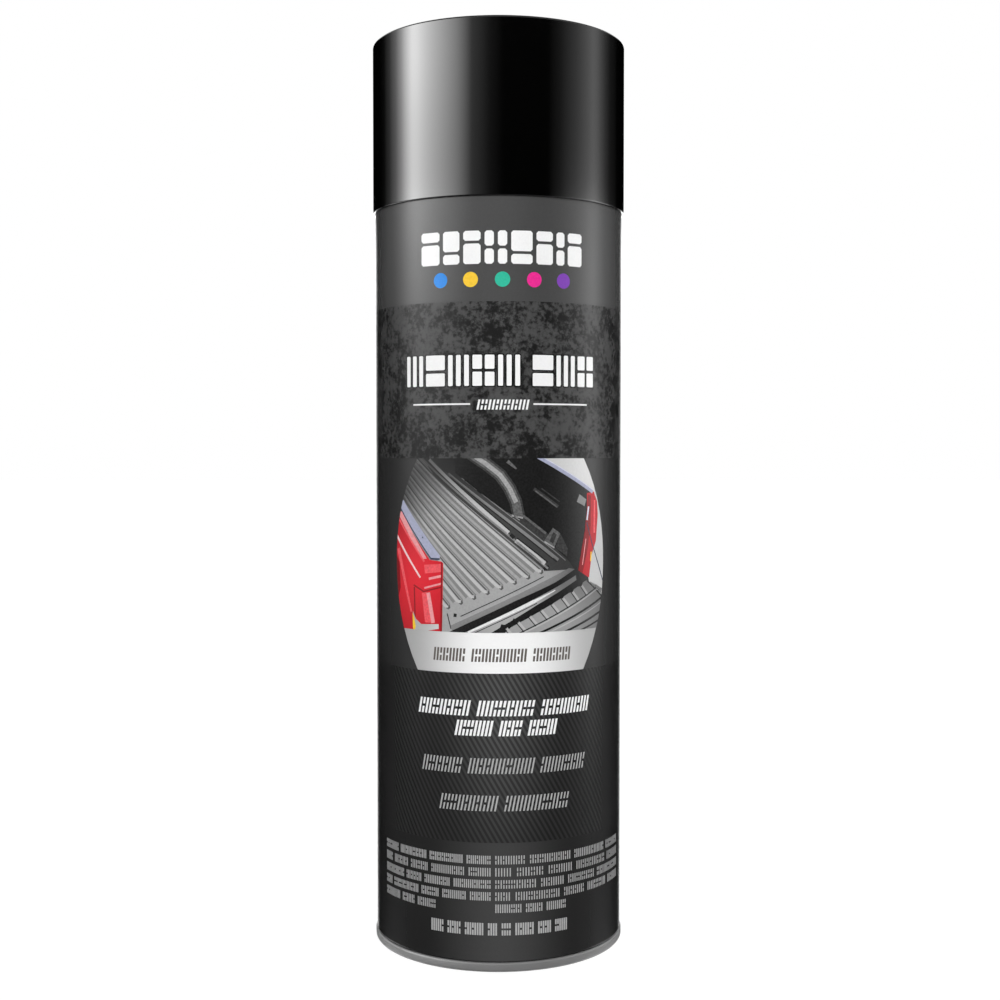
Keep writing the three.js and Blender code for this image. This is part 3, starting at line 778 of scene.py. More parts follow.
def build_button(plastic, insert_plastic):
    """The finger button, with its stem socket, spray channel and nozzle disc."""
    shoulder = BUTTON_BOTTOM + 3.2
    waist = BUTTON_RADIUS - 0.4
    brow = BUTTON_RADIUS - 0.7
    skirt_roof = BUTTON_BOTTOM + 4.6
    channel_top, socket_top = NOZZLE_HEIGHT + 0.5, STEM_TOP + 0.2
    socket = STEM_RADIUS + 0.1
    outside = rounded([
        (0, channel_top), (0.9, channel_top), (0.9, socket_top), (socket, socket_top, 0.2),
        (socket, BUTTON_BOTTOM, 0.25), (3.9, BUTTON_BOTTOM, 0.25), (3.8, skirt_roof, 0.5),
        (6.95, skirt_roof, 0.5), (6.9, BUTTON_BOTTOM, 0.2), (BUTTON_RADIUS, BUTTON_BOTTOM, 0.25),
        (BUTTON_RADIUS, shoulder, 0.35), (waist, shoulder + 0.4, 0.3), (brow, BUTTON_TOP, 1.0),
        (5.2, BUTTON_TOP)], steps=6)
    crown = [Vector((radius / 10, BUTTON_TOP)) for radius in range(48, 0, -4)] + [Vector((0, BUTTON_TOP))]
    shape = lathe(outside + crown, 96)
    # the finger dish is part of a ball that leans back over the button
    ball = 15
    dip = 1.9  # from the button's top to the ball's lowest point
    centre = Vector((0, 2.2, BUTTON_TOP + ball - dip))
    for vertex in shape.verts:
        if vertex.co.z > BUTTON_TOP - 2:
            level = math.hypot(vertex.co.x, vertex.co.y - centre.y)
            dish = centre.z - math.sqrt(ball ** 2 - level ** 2)
            soft = 0.25  # the rim between the brow and the dish is rounded over this height
            blend = max(0, min(1, 0.5 + (vertex.co.z - dish) / (2 * soft)))
            vertex.co.z = vertex.co.z * (1 - blend) + dish * blend - soft * blend * (1 - blend)
    # the channel, the disc's seat and the flare in front of it, by distance from the button's middle
    bore = [(0, 0.5), (0.6, 0.5), (0.6, 4.6), (2.75, 4.6), (2.75, 6.9), (3.6, 8.5), (0, 8.5)]
    shape = combine(shape, "DIFFERENCE", face_front(lathe(bore, SMALL_ROUND), NOZZLE_HEIGHT))
    make_piece("spray_button", shape, [plastic], "actuator", "actuator_button")

    corners = [(0.25, 4.9), (2.6, 4.9, 0.1), (2.6, 7.75, 0.25), (1.6, 7.75, 0.15), (1.0, 6.95, 0.2),
               (0.25, 6.95)]
    insert = face_front(lathe(rounded(corners, closed=True, steps=4), 48), NOZZLE_HEIGHT)
    make_piece("nozzle_insert", insert, [insert_plastic], "actuator", "spray_insert")


def build_cap(plastic):
    """The overcap, with the inner ring that grips the valve cup's rim and four ribs that hold the ring."""
    inside = CAP_RADIUS - 0.7
    roof = CAP_TOP - 1.2
    ring, ring_bottom = 16.35, 208.8
    outline = rounded([
        (0, CAP_TOP - 0.12), (1.1, CAP_TOP - 0.12, 0.2), (1.35, CAP_TOP, 0.15), (CAP_RADIUS, CAP_TOP, 0.45),
        (CAP_RADIUS, CAP_BOTTOM, 0.18), (inside + 0.2, CAP_BOTTOM, 0.08), (inside, CAP_BOTTOM + 0.3, 0.2),
        (inside, roof, 0.8), (ring + 1.1, roof, 0.5), (ring + 0.9, ring_bottom, 0.3),
        (ring, ring_bottom, 0.3), (ring, roof, 0.5), (0, roof)], steps=6)
    ribs = []
    rib_count, rib_bottom, rib_half = 4, 216, 0.5
    for i in range(rib_count):
        # each end of a rib runs a little into the wall that it joins
        rib = box_shape((ring + 0.45, -rib_half, rib_bottom), (CAP_RADIUS - 0.35, rib_half, roof + 0.6))
        turn = Matrix.Rotation(2 * math.pi * (i + 0.5) / rib_count, 3, "Z")
        bmesh.ops.rotate(rib, cent=(0, 0, 0), matrix=turn, verts=rib.verts)
        ribs.append(rib)
    shape = combine(lathe(outline), "UNION", *ribs)
    make_piece("overcap_shell", shape, [plastic], "cap", "overcap")


# ---- contents

def build_contents(looks):
    """The two mixing balls. The dip tube and the liquid keep their CAD shapes."""
    for body in ("ball_a", "ball_b"):
        node = "mixing_" + body
        low, high = lowest(node), highest(node)
        shape = bmesh.new()
        bmesh.ops.create_icosphere(shape, subdivisions=5, radius=(high.z - low.z) / 2)
        bmesh.ops.translate(shape, vec=(low + high) / 2, verts=shape.verts)
        make_piece("steel_" + body, shape, [looks["steel"]], body, node, sharp=80)
    for node, look in (("dip_tube", looks["tube"]), ("coating_fill", looks["paint"])):
        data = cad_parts[node].data
        data.materials.clear()
        data.materials.append(look)


# ---- artwork

class Artwork:
    """Flat shapes, in millimetres round the can from the artwork's middle and up from its foot,
    laid on the wall as thin films of ink."""

    BED = -0.03  # a film's underside lies just inside the wall
    STEP = 0.012  # each layer stands this much higher than the one below

    def __init__(self):
        self.films = {}

    def add(self, ink_name, outline, layer=1):
        if len(outline) > 2:
            self.films.setdefault((ink_name, layer), []).append([Vector(p) for p in outline])

    def build(self, piece, inks):
        shape = bmesh.new()
        names = []
        for (ink_name, layer), outlines in self.films.items():
            if ink_name not in names:
                names.append(ink_name)
            for outline in outlines:
                self.lay(shape, outline, layer, names.index(ink_name))
        make_piece(piece, shape, [inks[name] for name in names], "can", sharp=40)

    def lay(self, shape, outline, layer, material):
        """One film, bent round the can. A wide one is cut where the can's facets meet."""
        film = bmesh.new()
        film.faces.new([film.verts.new((p.x + PRINT_TURN, p.y, 0)) for p in outline])
        left = min(p.x for p in outline) + PRINT_TURN
        right = max(p.x for p in outline) + PRINT_TURN
        if right - left > 1.2 * FACET:
            for k in range(math.ceil(left / FACET), math.floor(right / FACET) + 1):
                everything = film.verts[:] + film.edges[:] + film.faces[:]
                facet_edge = {"plane_co": (k * FACET, 0, 0), "plane_no": (1, 0, 0)}
                bmesh.ops.bisect_plane(film, geom=everything, dist=1e-5, **facet_edge)
        bmesh.ops.triangulate(film, faces=[face for face in film.faces if len(face.verts) > 4])
        lift = layer * self.STEP
        flat_faces = film.faces[:]
        spots = {}
        for height in (lift, self.BED):
            radius = BODY_RADIUS + height
            for vertex in film.verts:
                along, up, _ = vertex.co
                angle = along / BODY_RADIUS
                spot = (radius * math.sin(angle), -radius * math.cos(angle), up)
                spots[vertex, height] = shape.verts.new(spot)
        for face in flat_faces:
            for height in (lift, self.BED):
                corners = [spots[corner, height] for corner in face.verts]
                shape.faces.new(corners).material_index = material
        for edge in film.edges:
            if len(edge.link_faces) == 1:
                a, b = edge.verts
                wall = (spots[a, lift], spots[b, lift], spots[b, self.BED], spots[a, self.BED])
                shape.faces.new(wall).material_index = material
        film.free()


def slab(left, bottom, right, top, slant=0.0, corner=0.0):
    """A four-sided block that leans to the right by slant times its height, with cut corners."""
    def lean(x, y):
        return (x + slant * (y - bottom), y)
    if not corner:
        return [lean(left, bottom), lean(right, bottom), lean(right, top), lean(left, top)]
    return [lean(left + corner, bottom), lean(right - corner, bottom), lean(right, bottom + corner),
            lean(right, top - corner), lean(right - corner, top), lean(left + corner, top),
            lean(left, top - corner), lean(left, bottom + corner)]


def disc(x, y, radius):
    return [point + Vector((x, y)) for point in arc((0, 0), radius, 0, 360, 28)[:-1]]


def clip(outline, window):
    """The part of an outline inside a convex window, both counter-clockwise."""
    outline = [Vector(p) for p in outline]
    for start, end in zip(window, window[1:] + window[:1]):
        edge = Vector(end) - Vector(start)
        kept = []
        for here, there in zip(outline, outline[1:] + outline[:1]):
            side_here = edge.cross(here - Vector(start))
            side_there = edge.cross(there - Vector(start))
            if side_here >= 0:
                kept.append(here)
            if side_here * side_there < 0:
                kept.append(here + (there - here) * side_here / (side_here - side_there))
        outline = kept
        if len(outline) < 3:
            return []
    return outline


def dummy_line(art, ink_name, left, right, bottom, height, weight, words, slant=0.0, layer=1, seed=1):
    """A line of filler in place of text. Its words are rows of upright strokes, many of them cut across."""
    dice = random.Random(seed)
    whole = [(0, height)]
    halves = [(0, 0.42 * height), (0.58 * height, height)]
    space = 1.6  # between words, in steps from one stroke to the next
    strokes = 2 * sum(words)
    step = (right - left) / (strokes + space * (len(words) - 1) - 1)
    x = left
    for word in words:
        for _ in range(2 * word):
            for low, high in dice.choice((whole, whole, halves)):
                start = x + slant * low
                art.add(ink_name, slab(start, bottom + low, start + weight, bottom + high, slant), layer)
            x += step
        x += space * step


def brand_panel(art):
    """A plain mark: a row of blocks of one height over a row of round colour samples."""
    widths = (5.4, 4.4, 4.4, 2.3, 2.3, 5.4, 4.4, 2.3, 4.4)
    bottom, top = 177.2, 185.4
    gap, corner = 1.0, 0.5
    x = 0.3 - (sum(widths) + gap * (len(widths) - 1)) / 2
    for i, width in enumerate(widths):
        split = (bottom + top) / 2 if width < 3 else (182.6, 180.0)[i % 2]
        art.add("white", slab(x, bottom, x + width, split - 0.35, 0, corner))
        art.add("white", slab(x, split + 0.35, x + width, top, 0, corner))
        x += width + gap
    samples, pitch = ("blue", "amber", "teal", "rose", "violet"), 8
    for i, sample in enumerate(samples):
        art.add(sample, disc(0.3 + pitch * (i - 2), 173.4, 1.9))


TITLE_CELLS = (-26.4, -20.0, -13.6, -7.2, -0.8, 7.9, 14.3, 20.7)


def title_panel(art):
    """Heavy filler cells over a soft dark edge, and a small line between two rules."""
    bottom, height, width, bar, edge = 147.1, 7.7, 5.5, 1.25, 0.3
    upright = [(k * (width - bar) / 2, 0, bar, height) for k in range(3)]
    stacked = [(0, 0, width, 3.2), (0, 4, width, 3.7)]
    quarters = [(x, y, 2.4, 3.5) for x in (0, width - 2.4) for y in (0, height - 3.5)]
    for i, left in enumerate(TITLE_CELLS):
        for x, y, wide, tall in (upright, stacked, upright, quarters)[i % 4]:
            x, y = left + x, bottom + y
            art.add("shadow", slab(x - edge, y - edge, x + wide + edge, y + tall + edge, 0, 0.3))
            art.add("white", slab(x, y, x + wide, y + tall, 0, 0.2), 2)
    for left, right in ((-24.2, -7.8), (8.1, 23.9)):
        art.add("white", slab(left, 142.4, right, 142.8))
    dummy_line(art, "white", -6.2, 6.1, 141.2, 2.5, 0.5, (7,), slant=0.2, seed=3)


def claims_panel(art):
    lines = (
        ("white", -22.6, 23.6, 64.7, 0.6, (7, 7, 7), 11),
        ("white", -12.0, 13.4, 59.7, 0.6, (5, 3, 4), 12),
        ("silver", -21.4, 22.2, 50.2, 0.42, (6, 9, 7), 13),
        ("silver", -16.2, 17.0, 40.8, 0.42, (8, 9), 14),
    )
    for name, left, right, bottom, weight, words, seed in lines:
        dummy_line(art, name, left, right, bottom, 3.9, weight, words, slant=0.2, seed=seed)


def notice_panel(art):
    """Two columns of small filler, and one line under them."""
    columns = ((-36.6, -3.0, -17.7), (-1.5, 39.8, 16.9))  # left, right, and the last line's right
    rows = ((6, 9, 9, 6), (3, 5, 5, 8, 5), (8, 5, 7, 9), (3, 9, 5, 6, 5), (6, 4, 5))
    for c, (left, right, short) in enumerate(columns):
        for row, words in enumerate(rows):
            end = short if words == rows[-1] else right
            bottom = 27.4 - 3.07 * row
            seed = 30 + len(rows) * c + row
            dummy_line(art, "small_print", left, end, bottom, 2.15, 0.3, words, seed=seed)
    dummy_line(art, "silver", -18.6, 17.2, 9.4, 3.1, 0.42, (3, 3, 4, 2, 2, 4, 3, 3), seed=41)


def back_panels(art):
    """Filler paragraphs and rules on both sides of the unprinted strip over the can's weld."""
    weld = math.pi * BODY_RADIUS - PRINT_TURN
    for layer, (name, half) in enumerate((("lacquer", 1.7), ("weld", 0.35)), 1):
        art.add(name, slab(weld - half, SEAM_LENGTH + 1.5, weld + half, CAP_BOTTOM - 0.4), layer)
    blocks = ((124, 14), (70, 10), (29, 6))  # each paragraph's top and number of lines
    pitch = 2.75
    words = ((7, 3, 9, 6, 5), (4, 8, 6, 3, 8), (5, 5, 7, 9, 4))
    for side in (-1, 1):
        left = side * 72 - 22
        right = left + 44
        dummy_line(art, "white", left, left + 26, 181, 3, 0.55, (5, 6), seed=50 + side)
        for row in range(4):
            seed = 60 + 7 * row + side
            dummy_line(art, "silver", left, right, 176 - 2.6 * row, 1.6, 0.3, words[row % 3], seed=seed)
        for block, (top, rows) in enumerate(blocks):
            art.add("silver", slab(left, top + 1.6, right, top + 1.9))
            first = top - 1.8
            for row in range(rows - 1):
                bottom, seed = first - pitch * row, 100 + 40 * block + 3 * row + side
                line = words[(row + block) % 3]
                dummy_line(art, "small_print", left, right, bottom, 1.7, 0.3, line, seed=seed)
            last, seed = first - pitch * (rows - 1), 90 + block + 4 * side
            dummy_line(art, "small_print", left, left + 18, last, 1.7, 0.3, (5, 7), seed=seed)


# ---- the label's picture

WINDOW_HALF_TOP = 22.8
WINDOW_HALF_MIDDLE = 30.8
WINDOW_MIDDLE = 103
CAPTION_TOP = 85.6


def window_outline():
    """The picture's frame: level above and below, with sides that bulge."""
    side = []
    top, bottom = STONE_BOTTOM, WINDOW_BAND_BOTTOM
    for i in range(17):
        height = bottom + (top - bottom) * i / 16
        reach = (top if height > WINDOW_MIDDLE else bottom) - WINDOW_MIDDLE
        share = abs((height - WINDOW_MIDDLE) / reach)
        side.append((WINDOW_HALF_MIDDLE - (WINDOW_HALF_MIDDLE - WINDOW_HALF_TOP) * share ** 2.1, height))
    return side + [(-x, y) for x, y in reversed(side)]


def picture(art):
    """A plain drawing of a lined truck bed between two red sides, with its tailgate down."""
    frame_line = window_outline()
    scene_line = clip(frame_line, [(-40, CAPTION_TOP), (40, CAPTION_TOP), (40, 140), (-40, 140)])

    def paint(name, layer, *outline):
        turn = sum(a[0] * b[1] - b[0] * a[1] for a, b in zip(outline, outline[1:] + outline[:1]))
        ordered = list(outline) if turn > 0 else list(outline)[::-1]
        art.add(name, clip(ordered, scene_line), layer)

    def stroke(name, layer, *lines):
        """Straight lines: each has a start, an end and a width, or two widths that it tapers between."""
        for start, end, *widths in lines:
            start, end = Vector(start), Vector(end)
            run = end - start
            side = Vector((-run.y, run.x)).normalized() / 2
            first, last = side * widths[0], side * widths[-1]
            corners = (start - first, end - last, end + last, start + first)
            paint(name, layer, *[tuple(corner) for corner in corners])

    caption_line = clip(frame_line, [(-40, 60), (40, 60), (40, CAPTION_TOP), (-40, CAPTION_TOP)])
    # silver print with a painted highlight in an upright band at the can's front
    art.add("caption_silver", caption_line)
    dummy_line(art, "caption_brown", -17.9, 17.7, 78.3, 3.3, 0.55, (5, 8, 6), slant=0.1, layer=2, seed=21)
    for draw in (draw_floor, draw_far_wall, draw_tailgate, draw_near_side, draw_far_side):
        draw(paint, stroke)


def draw_floor(paint, stroke):
    """The ribbed floor. Its ribs run from the upper left to rounded ends along the tailgate."""
    paint("bed", 1, (-34, 84), (34, 84), (34, 131), (-34, 131))
    for i in range(-5, 8):
        near = Vector((-13.7 + 3.4 * i, 92.2 + 1.27 * i))
        lean = 0.86 + 0.045 * i  # how far a rib runs left for each step up
        up = 131 - near.y
        far = near + Vector((-lean * up, up))
        stroke("bed_valley", 2, (near + Vector((1.65, 0.9)), far + Vector((1.5, 0.6)), 0.75, 0.6),
               (near + Vector((0.55, 0.25)), far + Vector((0.4, 0.2)), 0.35, 0.3))
        stroke("rib_top", 2, (near - Vector((0.75, 0.15)), far - Vector((0.65, 0.2)), 0.75, 0.6))
        stroke("rib_line", 3, (near + Vector((0.1, 0)), far, 0.36, 0.34))
        # the rounded end, lit above and dark below
        lit = ((-1.2, 0.35), (-0.7, -0.55), (0, -0.65), (0.1, 0.2))
        dark = ((-0.6, -0.55), (0.1, -1.0), (0.65, -0.6), (0.5, 0.2), (0.15, 0.1), (0.05, -0.5))
        paint("rib_top", 3, *[near + Vector(offset) for offset in lit])
        paint("rib_line", 4, *[near + Vector(offset) for offset in dark])
    # the darker strip along the wall, with one split rib and one thin one
    paint("bed_dark", 4, (-20.5, 128.6), (-17.8, 125), (11.4, 100.9), (19.7, 101.1), (18, 103.2),
          (10.4, 109.8), (1.2, 115.9), (-5.8, 120.8), (-11.7, 125.5), (-12, 131), (-23, 131))
    stroke("bed_valley", 5, ((-21.5, 129.3), (12, 101.5), 0.5), ((-13.5, 125.4), (14.9, 103.6), 0.35, 0.7),
           ((-15, 126), (13.5, 104.2), 0.25, 0.3), ((-10, 124.2), (17, 103.4), 0.2, 0.25))
    stroke("rib_top", 5, ((-19, 128.8), (1.8, 110.6), 0.8, 1.1), ((3.6, 108.7), (11.2, 102.8), 1.1))
    stroke("groove", 6, ((-18.4, 128.9), (2.2, 111.1), 0.3), ((3.9, 109.3), (11.9, 103.1), 0.35),
           ((-13, 124.4), (14.4, 103.1), 0.3), ((2.3, 110.2), (3.2, 109.3), 0.9))
    stroke("groove", 5, ((10.8, 101.3), (12.3, 102), 0.9))


def draw_far_wall(paint, stroke):
    """The dark far wall with its wheel arch, handle, tie-down, rail and the pale sky over it."""
    paint("wall_black", 5, (-12, 131), (-11.7, 125.5), (-5.8, 120.8), (1.2, 115.9), (5.2, 113.5),
          (10.4, 109.8), (18, 103.2), (19.7, 101.1), (22, 99.5), (34, 99.5), (34, 131))
    arch = ((-7.5, 130.2), (-3.6, 127.6), (-0.3, 125), (2, 121.8), (3.6, 118.4), (4.3, 114.8))
    # tone, layer, width and number of runs: the lightest one stops short of the arch's foot
    tones = (("arch_edge", 6, 3.2, 5), ("arch_grey", 7, 2.2, 5), ("arch_light", 8, 1.1, 4))
    for name, layer, wide, runs in tones:
        for start, end in zip(arch[:runs], arch[1:]):
            overlap = (Vector(end) - Vector(start)).normalized() * 0.25
            stroke(name, layer, (Vector(start) - overlap, Vector(end) + overlap, wide))
    stroke("arch_light", 7, ((2.6, 114.9), (5.4, 114.3), 0.45))
    stroke("arch_edge", 6, ((5, 114.3), (11.6, 109.3), 2.0), ((8.2, 121.5), (14.8, 116.9), 0.9),
           ((10.2, 121.6), (15.2, 118.2), 0.3))
    stroke("arch_grey", 7, ((5.4, 114.9), (11.4, 110.3), 0.6), ((8.6, 121), (14.4, 116.9), 0.35))
    paint("arch_grey", 8, (13.3, 111.7), (15.4, 110.3), (13.7, 106.7), (10.9, 108.4))
    paint("arch_edge", 9, (13.4, 110.6), (14.4, 110), (13.4, 107.7), (12.3, 108.4))
    paint("arch_edge", 8, (15.4, 110.3), (17.6, 106.4), (17.4, 104.4), (14, 106.7))
    stroke("arch_light", 9, ((11, 108.3), (13.7, 106.7), 0.35))
    stroke("arch_grey", 6, ((1.5, 128.4), (3.8, 126.5), 0.9, 0.4))
    paint("gate_light", 7, (21.4, 120), (23.8, 118.6), (23.1, 116.9), (20.5, 118.1))
    paint("sky_grey", 7, (8.6, 130.8), (25.8, 120.6), (34, 117), (34, 131))
    stroke("rail_lilac", 8, ((9, 129.7), (26.2, 120.5), 1.0))
    stroke("rail_light", 9, ((9.8, 129.8), (26.4, 120.9), 0.25))


def draw_tailgate(paint, stroke):
    """The floor's end, the dark gap and the lowered tailgate with its teeth and grooves."""
    stroke("groove", 5, ((-10.3, 89.6), (10.8, 99.5), 0.22))
    paint("groove", 5, (-12.2, 89.4), (-11.4, 89.4), (-11.3, 90.2), (-12.1, 90.3))
    stroke("groove", 5, ((-13.9, 90.2), (-12.9, 86.4), 0.25))
    paint("bed_valley", 5, (-13, 87.2), (9.7, 97.8), (18, 101.4), (20.2, 101), (-12.4, 85.2))
    paint("wall_black", 6, (-14.6, 85), (-10.6, 86.9), (3.5, 93.6), (14.1, 98), (20.1, 101.2), (34, 101.2),
          (34, 84), (-16, 84))
    paint("hinge_grey", 7, (-10, 85.2), (8.3, 93.9), (20.2, 99.5), (20.4, 98.3), (8.9, 92.4), (-3.6, 85))
    stroke("hinge_light", 8, ((-8.4, 85.6), (8.3, 93.4), 0.5, 0.9), ((8, 93.2), (14, 96), 0.8, 0.2))
    stroke("groove", 9, ((-6.6, 85.6), (9, 92.9), 0.2))
    paint("gate", 7, (-1, 84), (2.4, 87), (13.2, 92.6), (23.2, 97.8), (24.2, 98.1), (34, 94), (34, 84))
    teeth = 8
    first, last = Vector((0.4, 86.9)), Vector((21.3, 96.9))
    for i in range(teeth):
        share = i / (teeth - 1)
        x, y = first + (last - first) * share
        notch = 1.0 - 0.3 * share
        paint("wall_black", 8, (x - 0.4, y + 0.9), (x + 0.5 + notch, y + 0.5), (x + 0.9, y - 0.2),
              (x - 0.9, y - 0.4))
        stroke("groove", 8, ((x + 0.4, y - 0.3), (x + 2.5, y - 2.8), 0.22))
        stroke("gate_light", 8, ((x + 0.9, y - 0.1), (x + 2.9, y - 2.4), 0.6))
    stroke("groove", 9, ((1.2, 84), (27.5, 95.9), 0.3))
    stroke("gate_light", 9, ((2.2, 84), (28, 95.6), 0.35))
    stroke("wall_black", 9, ((8, 84.7), (31, 93.6), 0.55), ((14, 84.4), (31, 90.2), 0.55),
           ((20.5, 85), (31, 88.2), 0.45))
    stroke("gate_light", 9, ((10, 84.6), (31, 92.5), 0.3))
    stroke("groove", 9, ((24, 98), (30, 93.6), 0.4))


def draw_near_side(paint, stroke):
    """The red side on the left, with its rail, folds and lamp."""
    paint("red", 6, (-34, 121), (-29.2, 115.7), (-18.9, 103.5), (-15.5, 103.2), (-15, 102.8), (-15.4, 84),
          (-34, 84))
    paint("rail_lilac", 7, (-28, 118.4), (-15.9, 104.6), (-16, 103.9), (-17.7, 103.6), (-18.8, 104.1),
          (-29.4, 117))
    stroke("rail_edge", 8, ((-29.6, 116.9), (-18.6, 103.9), 0.3), ((-18.7, 103.8), (-16, 103.8), 0.45))
    paint("rail_edge", 8, (-21.3, 109.3), (-20.9, 109.3), (-20.9, 108.9), (-21.3, 108.9))
    paint("pink", 7, (-30.6, 115.6), (-28.4, 115.4), (-19.8, 103.8), (-21.2, 103.6))
    stroke("rose_red", 8, ((-30.2, 114.1), (-20.6, 103), 0.5))
    stroke("pale_pink", 7, ((-31.5, 110.2), (-21.9, 98.9), 0.7, 0.5))
    paint("dark_red", 7, (-32, 106), (-29.6, 102.4), (-29.2, 96), (-30.6, 92), (-32, 92))
    stroke("rose_red", 7, ((-30, 106), (-25, 90), 1.2, 0.6))
    paint("rose_red", 7, (-20.6, 102.2), (-15.4, 102.6), (-15.4, 100.6), (-20.4, 100))
    stroke("pink", 7, ((-19.2, 98.7), (-15.3, 99.6), 0.6), ((-20.6, 96.3), (-15.3, 97.7), 0.45))
    stroke("dark_red", 8, ((-24.1, 96.9), (-20.8, 95.4), 0.35), ((-20.9, 95.4), (-15.3, 96.8), 0.35),
           ((-15.4, 103), (-15.6, 84), 0.4))
    stroke("dark_red", 7, ((-23.9, 96.4), (-23.6, 84.8), 0.4))
    paint("rose_red", 7, (-21.4, 95), (-19.8, 95.3), (-18, 87.6), (-20.4, 87.6))
    stroke("pink", 8, ((-19.4, 95.2), (-17.9, 87.6), 1.1))
    paint("caption_silver", 8, (-24.4, 90.2), (-23.4, 88.3), (-21.6, 87.1), (-16.3, 87.4), (-16.3, 86.2),
          (-22.6, 85), (-24, 85))
    paint("amber", 9, (-24.5, 89.8), (-24, 88.8), (-23.4, 86.4), (-24, 85), (-24.4, 86))


def draw_far_side(paint, stroke):
    """The red post on the right, its cable, and the pale ground beyond it."""
    paint("sky_grey", 7, (26.4, 121), (34, 118), (34, 92), (28.2, 95), (24.9, 97.6), (24.4, 99))
    paint("red", 8, (24, 120.2), (26.6, 120.6), (28, 118.1), (28.3, 114.7), (27.5, 107.9), (25.8, 104.5),
          (24.8, 98.6), (21, 100.7), (22.2, 106.1), (23.3, 110.8), (24, 116.2))
    paint("dark_red", 9, (24.4, 119.8), (25.4, 119.6), (25.4, 112), (24, 105), (22.4, 100), (21, 100.7),
          (22.2, 106.1), (23.3, 110.8), (24, 116.2))
    stroke("rose_red", 10, ((26.9, 118.4), (26.8, 110), 0.6))
    stroke("pink", 10, ((22.4, 102), (23.6, 108.6), 0.25))
    stroke("rail_light", 10, ((24.6, 116.8), (24, 113.4), 0.5))
    stroke("rail_edge", 11, ((23.9, 112.8), (25.8, 107.6), 0.25), ((25.8, 107.6), (30.6, 97.5), 0.25))
    stroke("amber", 10, ((25.6, 105.2), (25.4, 102.8), 0.4))


# Colour and unevenness of the plain inks.
PLAIN_INKS = {
    "white": (0.94, 0.02),
    "shadow": (0.006, 0.06),
    "silver": (0.42, 0.06),
    "small_print": (0.40, 0.08),
    "amber": ((0.95, 0.60, 0.04), 0.06),
    "rose": ((0.85, 0.03, 0.30), 0.06),
    "violet": ((0.22, 0.06, 0.46), 0.06),
    "blue": ((0.01, 0.24, 0.76), 0.06),
    "teal": ((0.02, 0.48, 0.32), 0.06),
    "caption_brown": ((0.13, 0.115, 0.105), 0.06),
    "groove": (0.02, 0.06),
    "wall_black": (0.012, 0.3),
    "arch_edge": (0.045, 0.3),
    "arch_grey": (0.12, 0.3),
    "arch_light": (0.36, 0.2),
    "hinge_light": (0.80, 0.1),
    "rail_lilac": ((0.40, 0.42, 0.56), 0.1),
    "rail_light": ((0.66, 0.67, 0.78), 0.1),
    "rail_edge": ((0.03, 0.04, 0.08), 0.1),
    "rose_red": ((0.86, 0.10, 0.12), 0.15),
    "dark_red": ((0.24, 0.006, 0.010), 0.15),
    "pink": ((0.86, 0.34, 0.36), 0.12),
    "pale_pink": ((0.92, 0.66, 0.68), 0.08),
}
# Inks that are lighter round one place: dark, light, the place, its reach, inner share and speckle.
SHADED_INKS = {
    # the caption's silver print, brightest in an upright band at the can's front: a painted highlight
    "caption_silver": (0.42, 0.95, (1, 80), (27, 60), 0.2, 0.02),
    "gate": (0.16, 0.36, (8, 88), (22, 14), 0.3),
    "gate_light": (0.26, 0.50, (10, 90), (22, 14), 0.3),
    "hinge_grey": (0.16, 0.42, (2, 90), (18, 14), 0.3),
    "sky_grey": (0.60, 0.78, (26, 128), (16, 16)),
    "red": ((0.52, 0.010, 0.020), (0.80, 0.018, 0.034), (-23, 100), (18, 18)),
}
# Tones of the drawn floor, which fade to a fifth of themselves away from its middle.
FLOOR_INKS = {"bed": 0.40, "rib_top": 0.56, "bed_valley": 0.25, "rib_line": 0.11, "bed_dark": 0.06}


def make_inks():
    inks = {name: ink(name, *look) for name, look in PLAIN_INKS.items()}
    for name, look in SHADED_INKS.items():
        inks[name] = shaded_ink(name, *look)
    for name, tone in FLOOR_INKS.items():
        inks[name] = shaded_ink(name, tone / 5, tone, (-6, 99), (32, 32), 0.5, 0.12)
    inks["lacquer"] = drawn_metal("lacquered_strip", (0.50, 0.49, 0.44), 0.35)
    inks["weld"] = drawn_metal("weld_bead", (0.30, 0.29, 0.27), 0.5)
    return inks


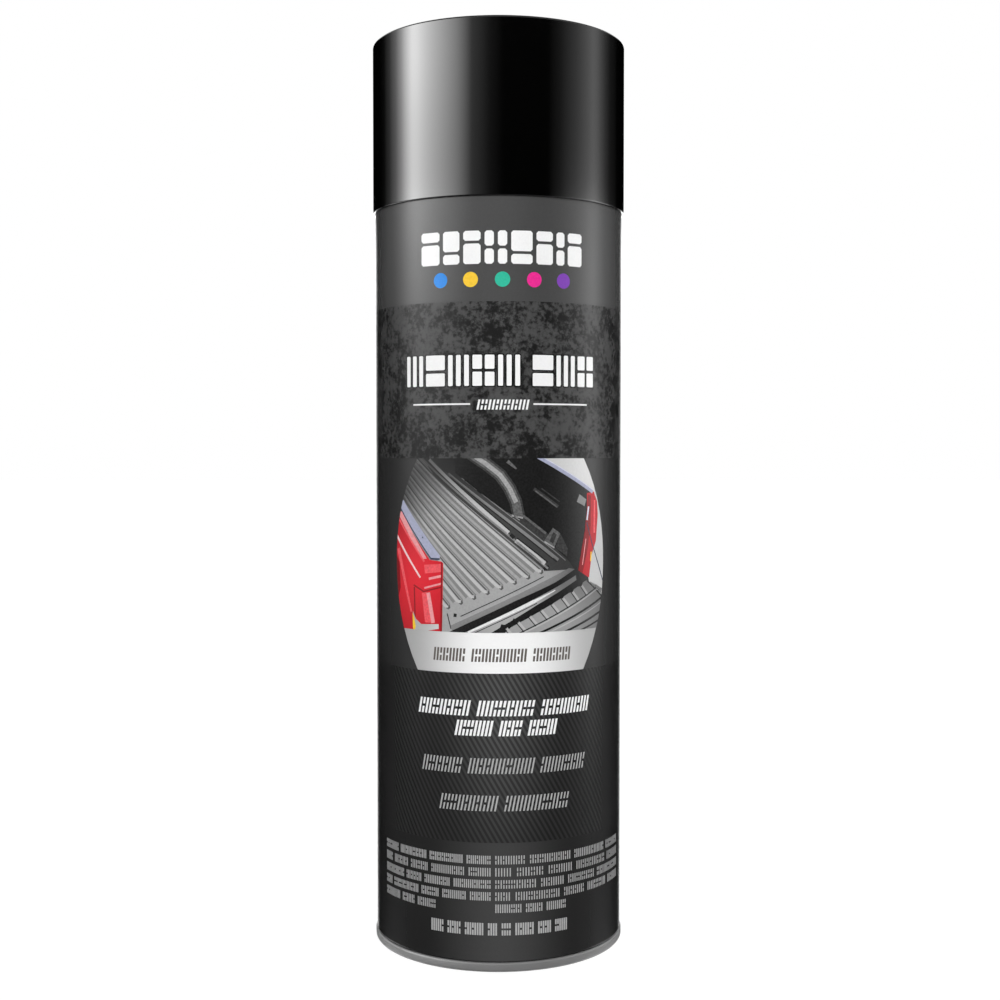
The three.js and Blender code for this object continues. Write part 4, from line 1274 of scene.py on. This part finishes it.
def build_print(inks):
    panels = {
        "print_mark": brand_panel,
        "print_title": title_panel,
        "print_claims": claims_panel,
        "print_notice": notice_panel,
        "print_back": back_panels,
        "print_picture": picture,
    }
    for name, draw in panels.items():
        art = Artwork()
        draw(art)
        art.build(name, inks)


# ---- the whole can

def main():
    bpy.context.scene.view_settings.view_transform = "Standard"
    make_camera()
    make_world()
    make_suns()
    make_floor()
    tinplate = drawn_metal("bare_tinplate", (0.50, 0.50, 0.49), 0.46)
    bands = [
        shaded_ink("foot_grey", 0.013, 0.054, (0, 8), (21, 110)),
        pinstripe_ink(),
        # the window band's grey is lighter round the front middle and darker towards the can's sides: painted
        # shade
        shaded_ink("window_grey_painted_side_shade", 0.024, 0.045, (0, 110), (45, 60)),
        stone_ink(),
        # the top band's grey is lighter round the can's front and darker towards its sides: painted shade
        shaded_ink("top_grey_painted_side_shade", 0.052, 0.066, (0, 180), (60, 90), 0.4),
    ]
    looks = {
        "cup": drawn_metal("cup_tinplate", (0.66, 0.65, 0.62), 0.24),
        "rubber": worn("black_rubber", 0.02, 0.0, 0.8, scuff=0.03),
        "natural": worn("natural_nylon", (0.78, 0.76, 0.70), 0.0, 0.42, Subsurface_Weight=0.1),
        "wire": worn("spring_wire", (0.55, 0.55, 0.56), 1.0, 0.25, scuff=0.003),
        "steel": worn("ball_steel", (0.60, 0.60, 0.61), 1.0, 0.18, rough_spread=0.08, scuff=0.002),
        "tube": worn("tube_plastic", (0.72, 0.71, 0.66), 0.0, 0.4),
        "paint": worn("liquid_coating", 0.012, 0.0, 0.2, scuff=0.02),
    }
    build_body(bands, tinplate)
    build_base(drawn_metal("dull_tinplate", (0.21, 0.21, 0.21), 0.5, 0.35),
               worn("seam_compound", (0.10, 0.14, 0.075), 0.0, 0.75, scuff=0.03))
    build_cone(tinplate)
    build_valve(looks)
    build_button(worn("button_plastic", (0.80, 0.79, 0.76), 0.0, 0.36, scuff=0.004),
                 worn("insert_plastic", 0.014, 0.0, 0.32, scuff=0.004))
    build_cap(worn("cap_black", 0.0008, 0.0, 0.1, 0.1, 0.02, 0.0005, grain=1.5))
    build_contents(looks)
    build_print(make_inks())


main()
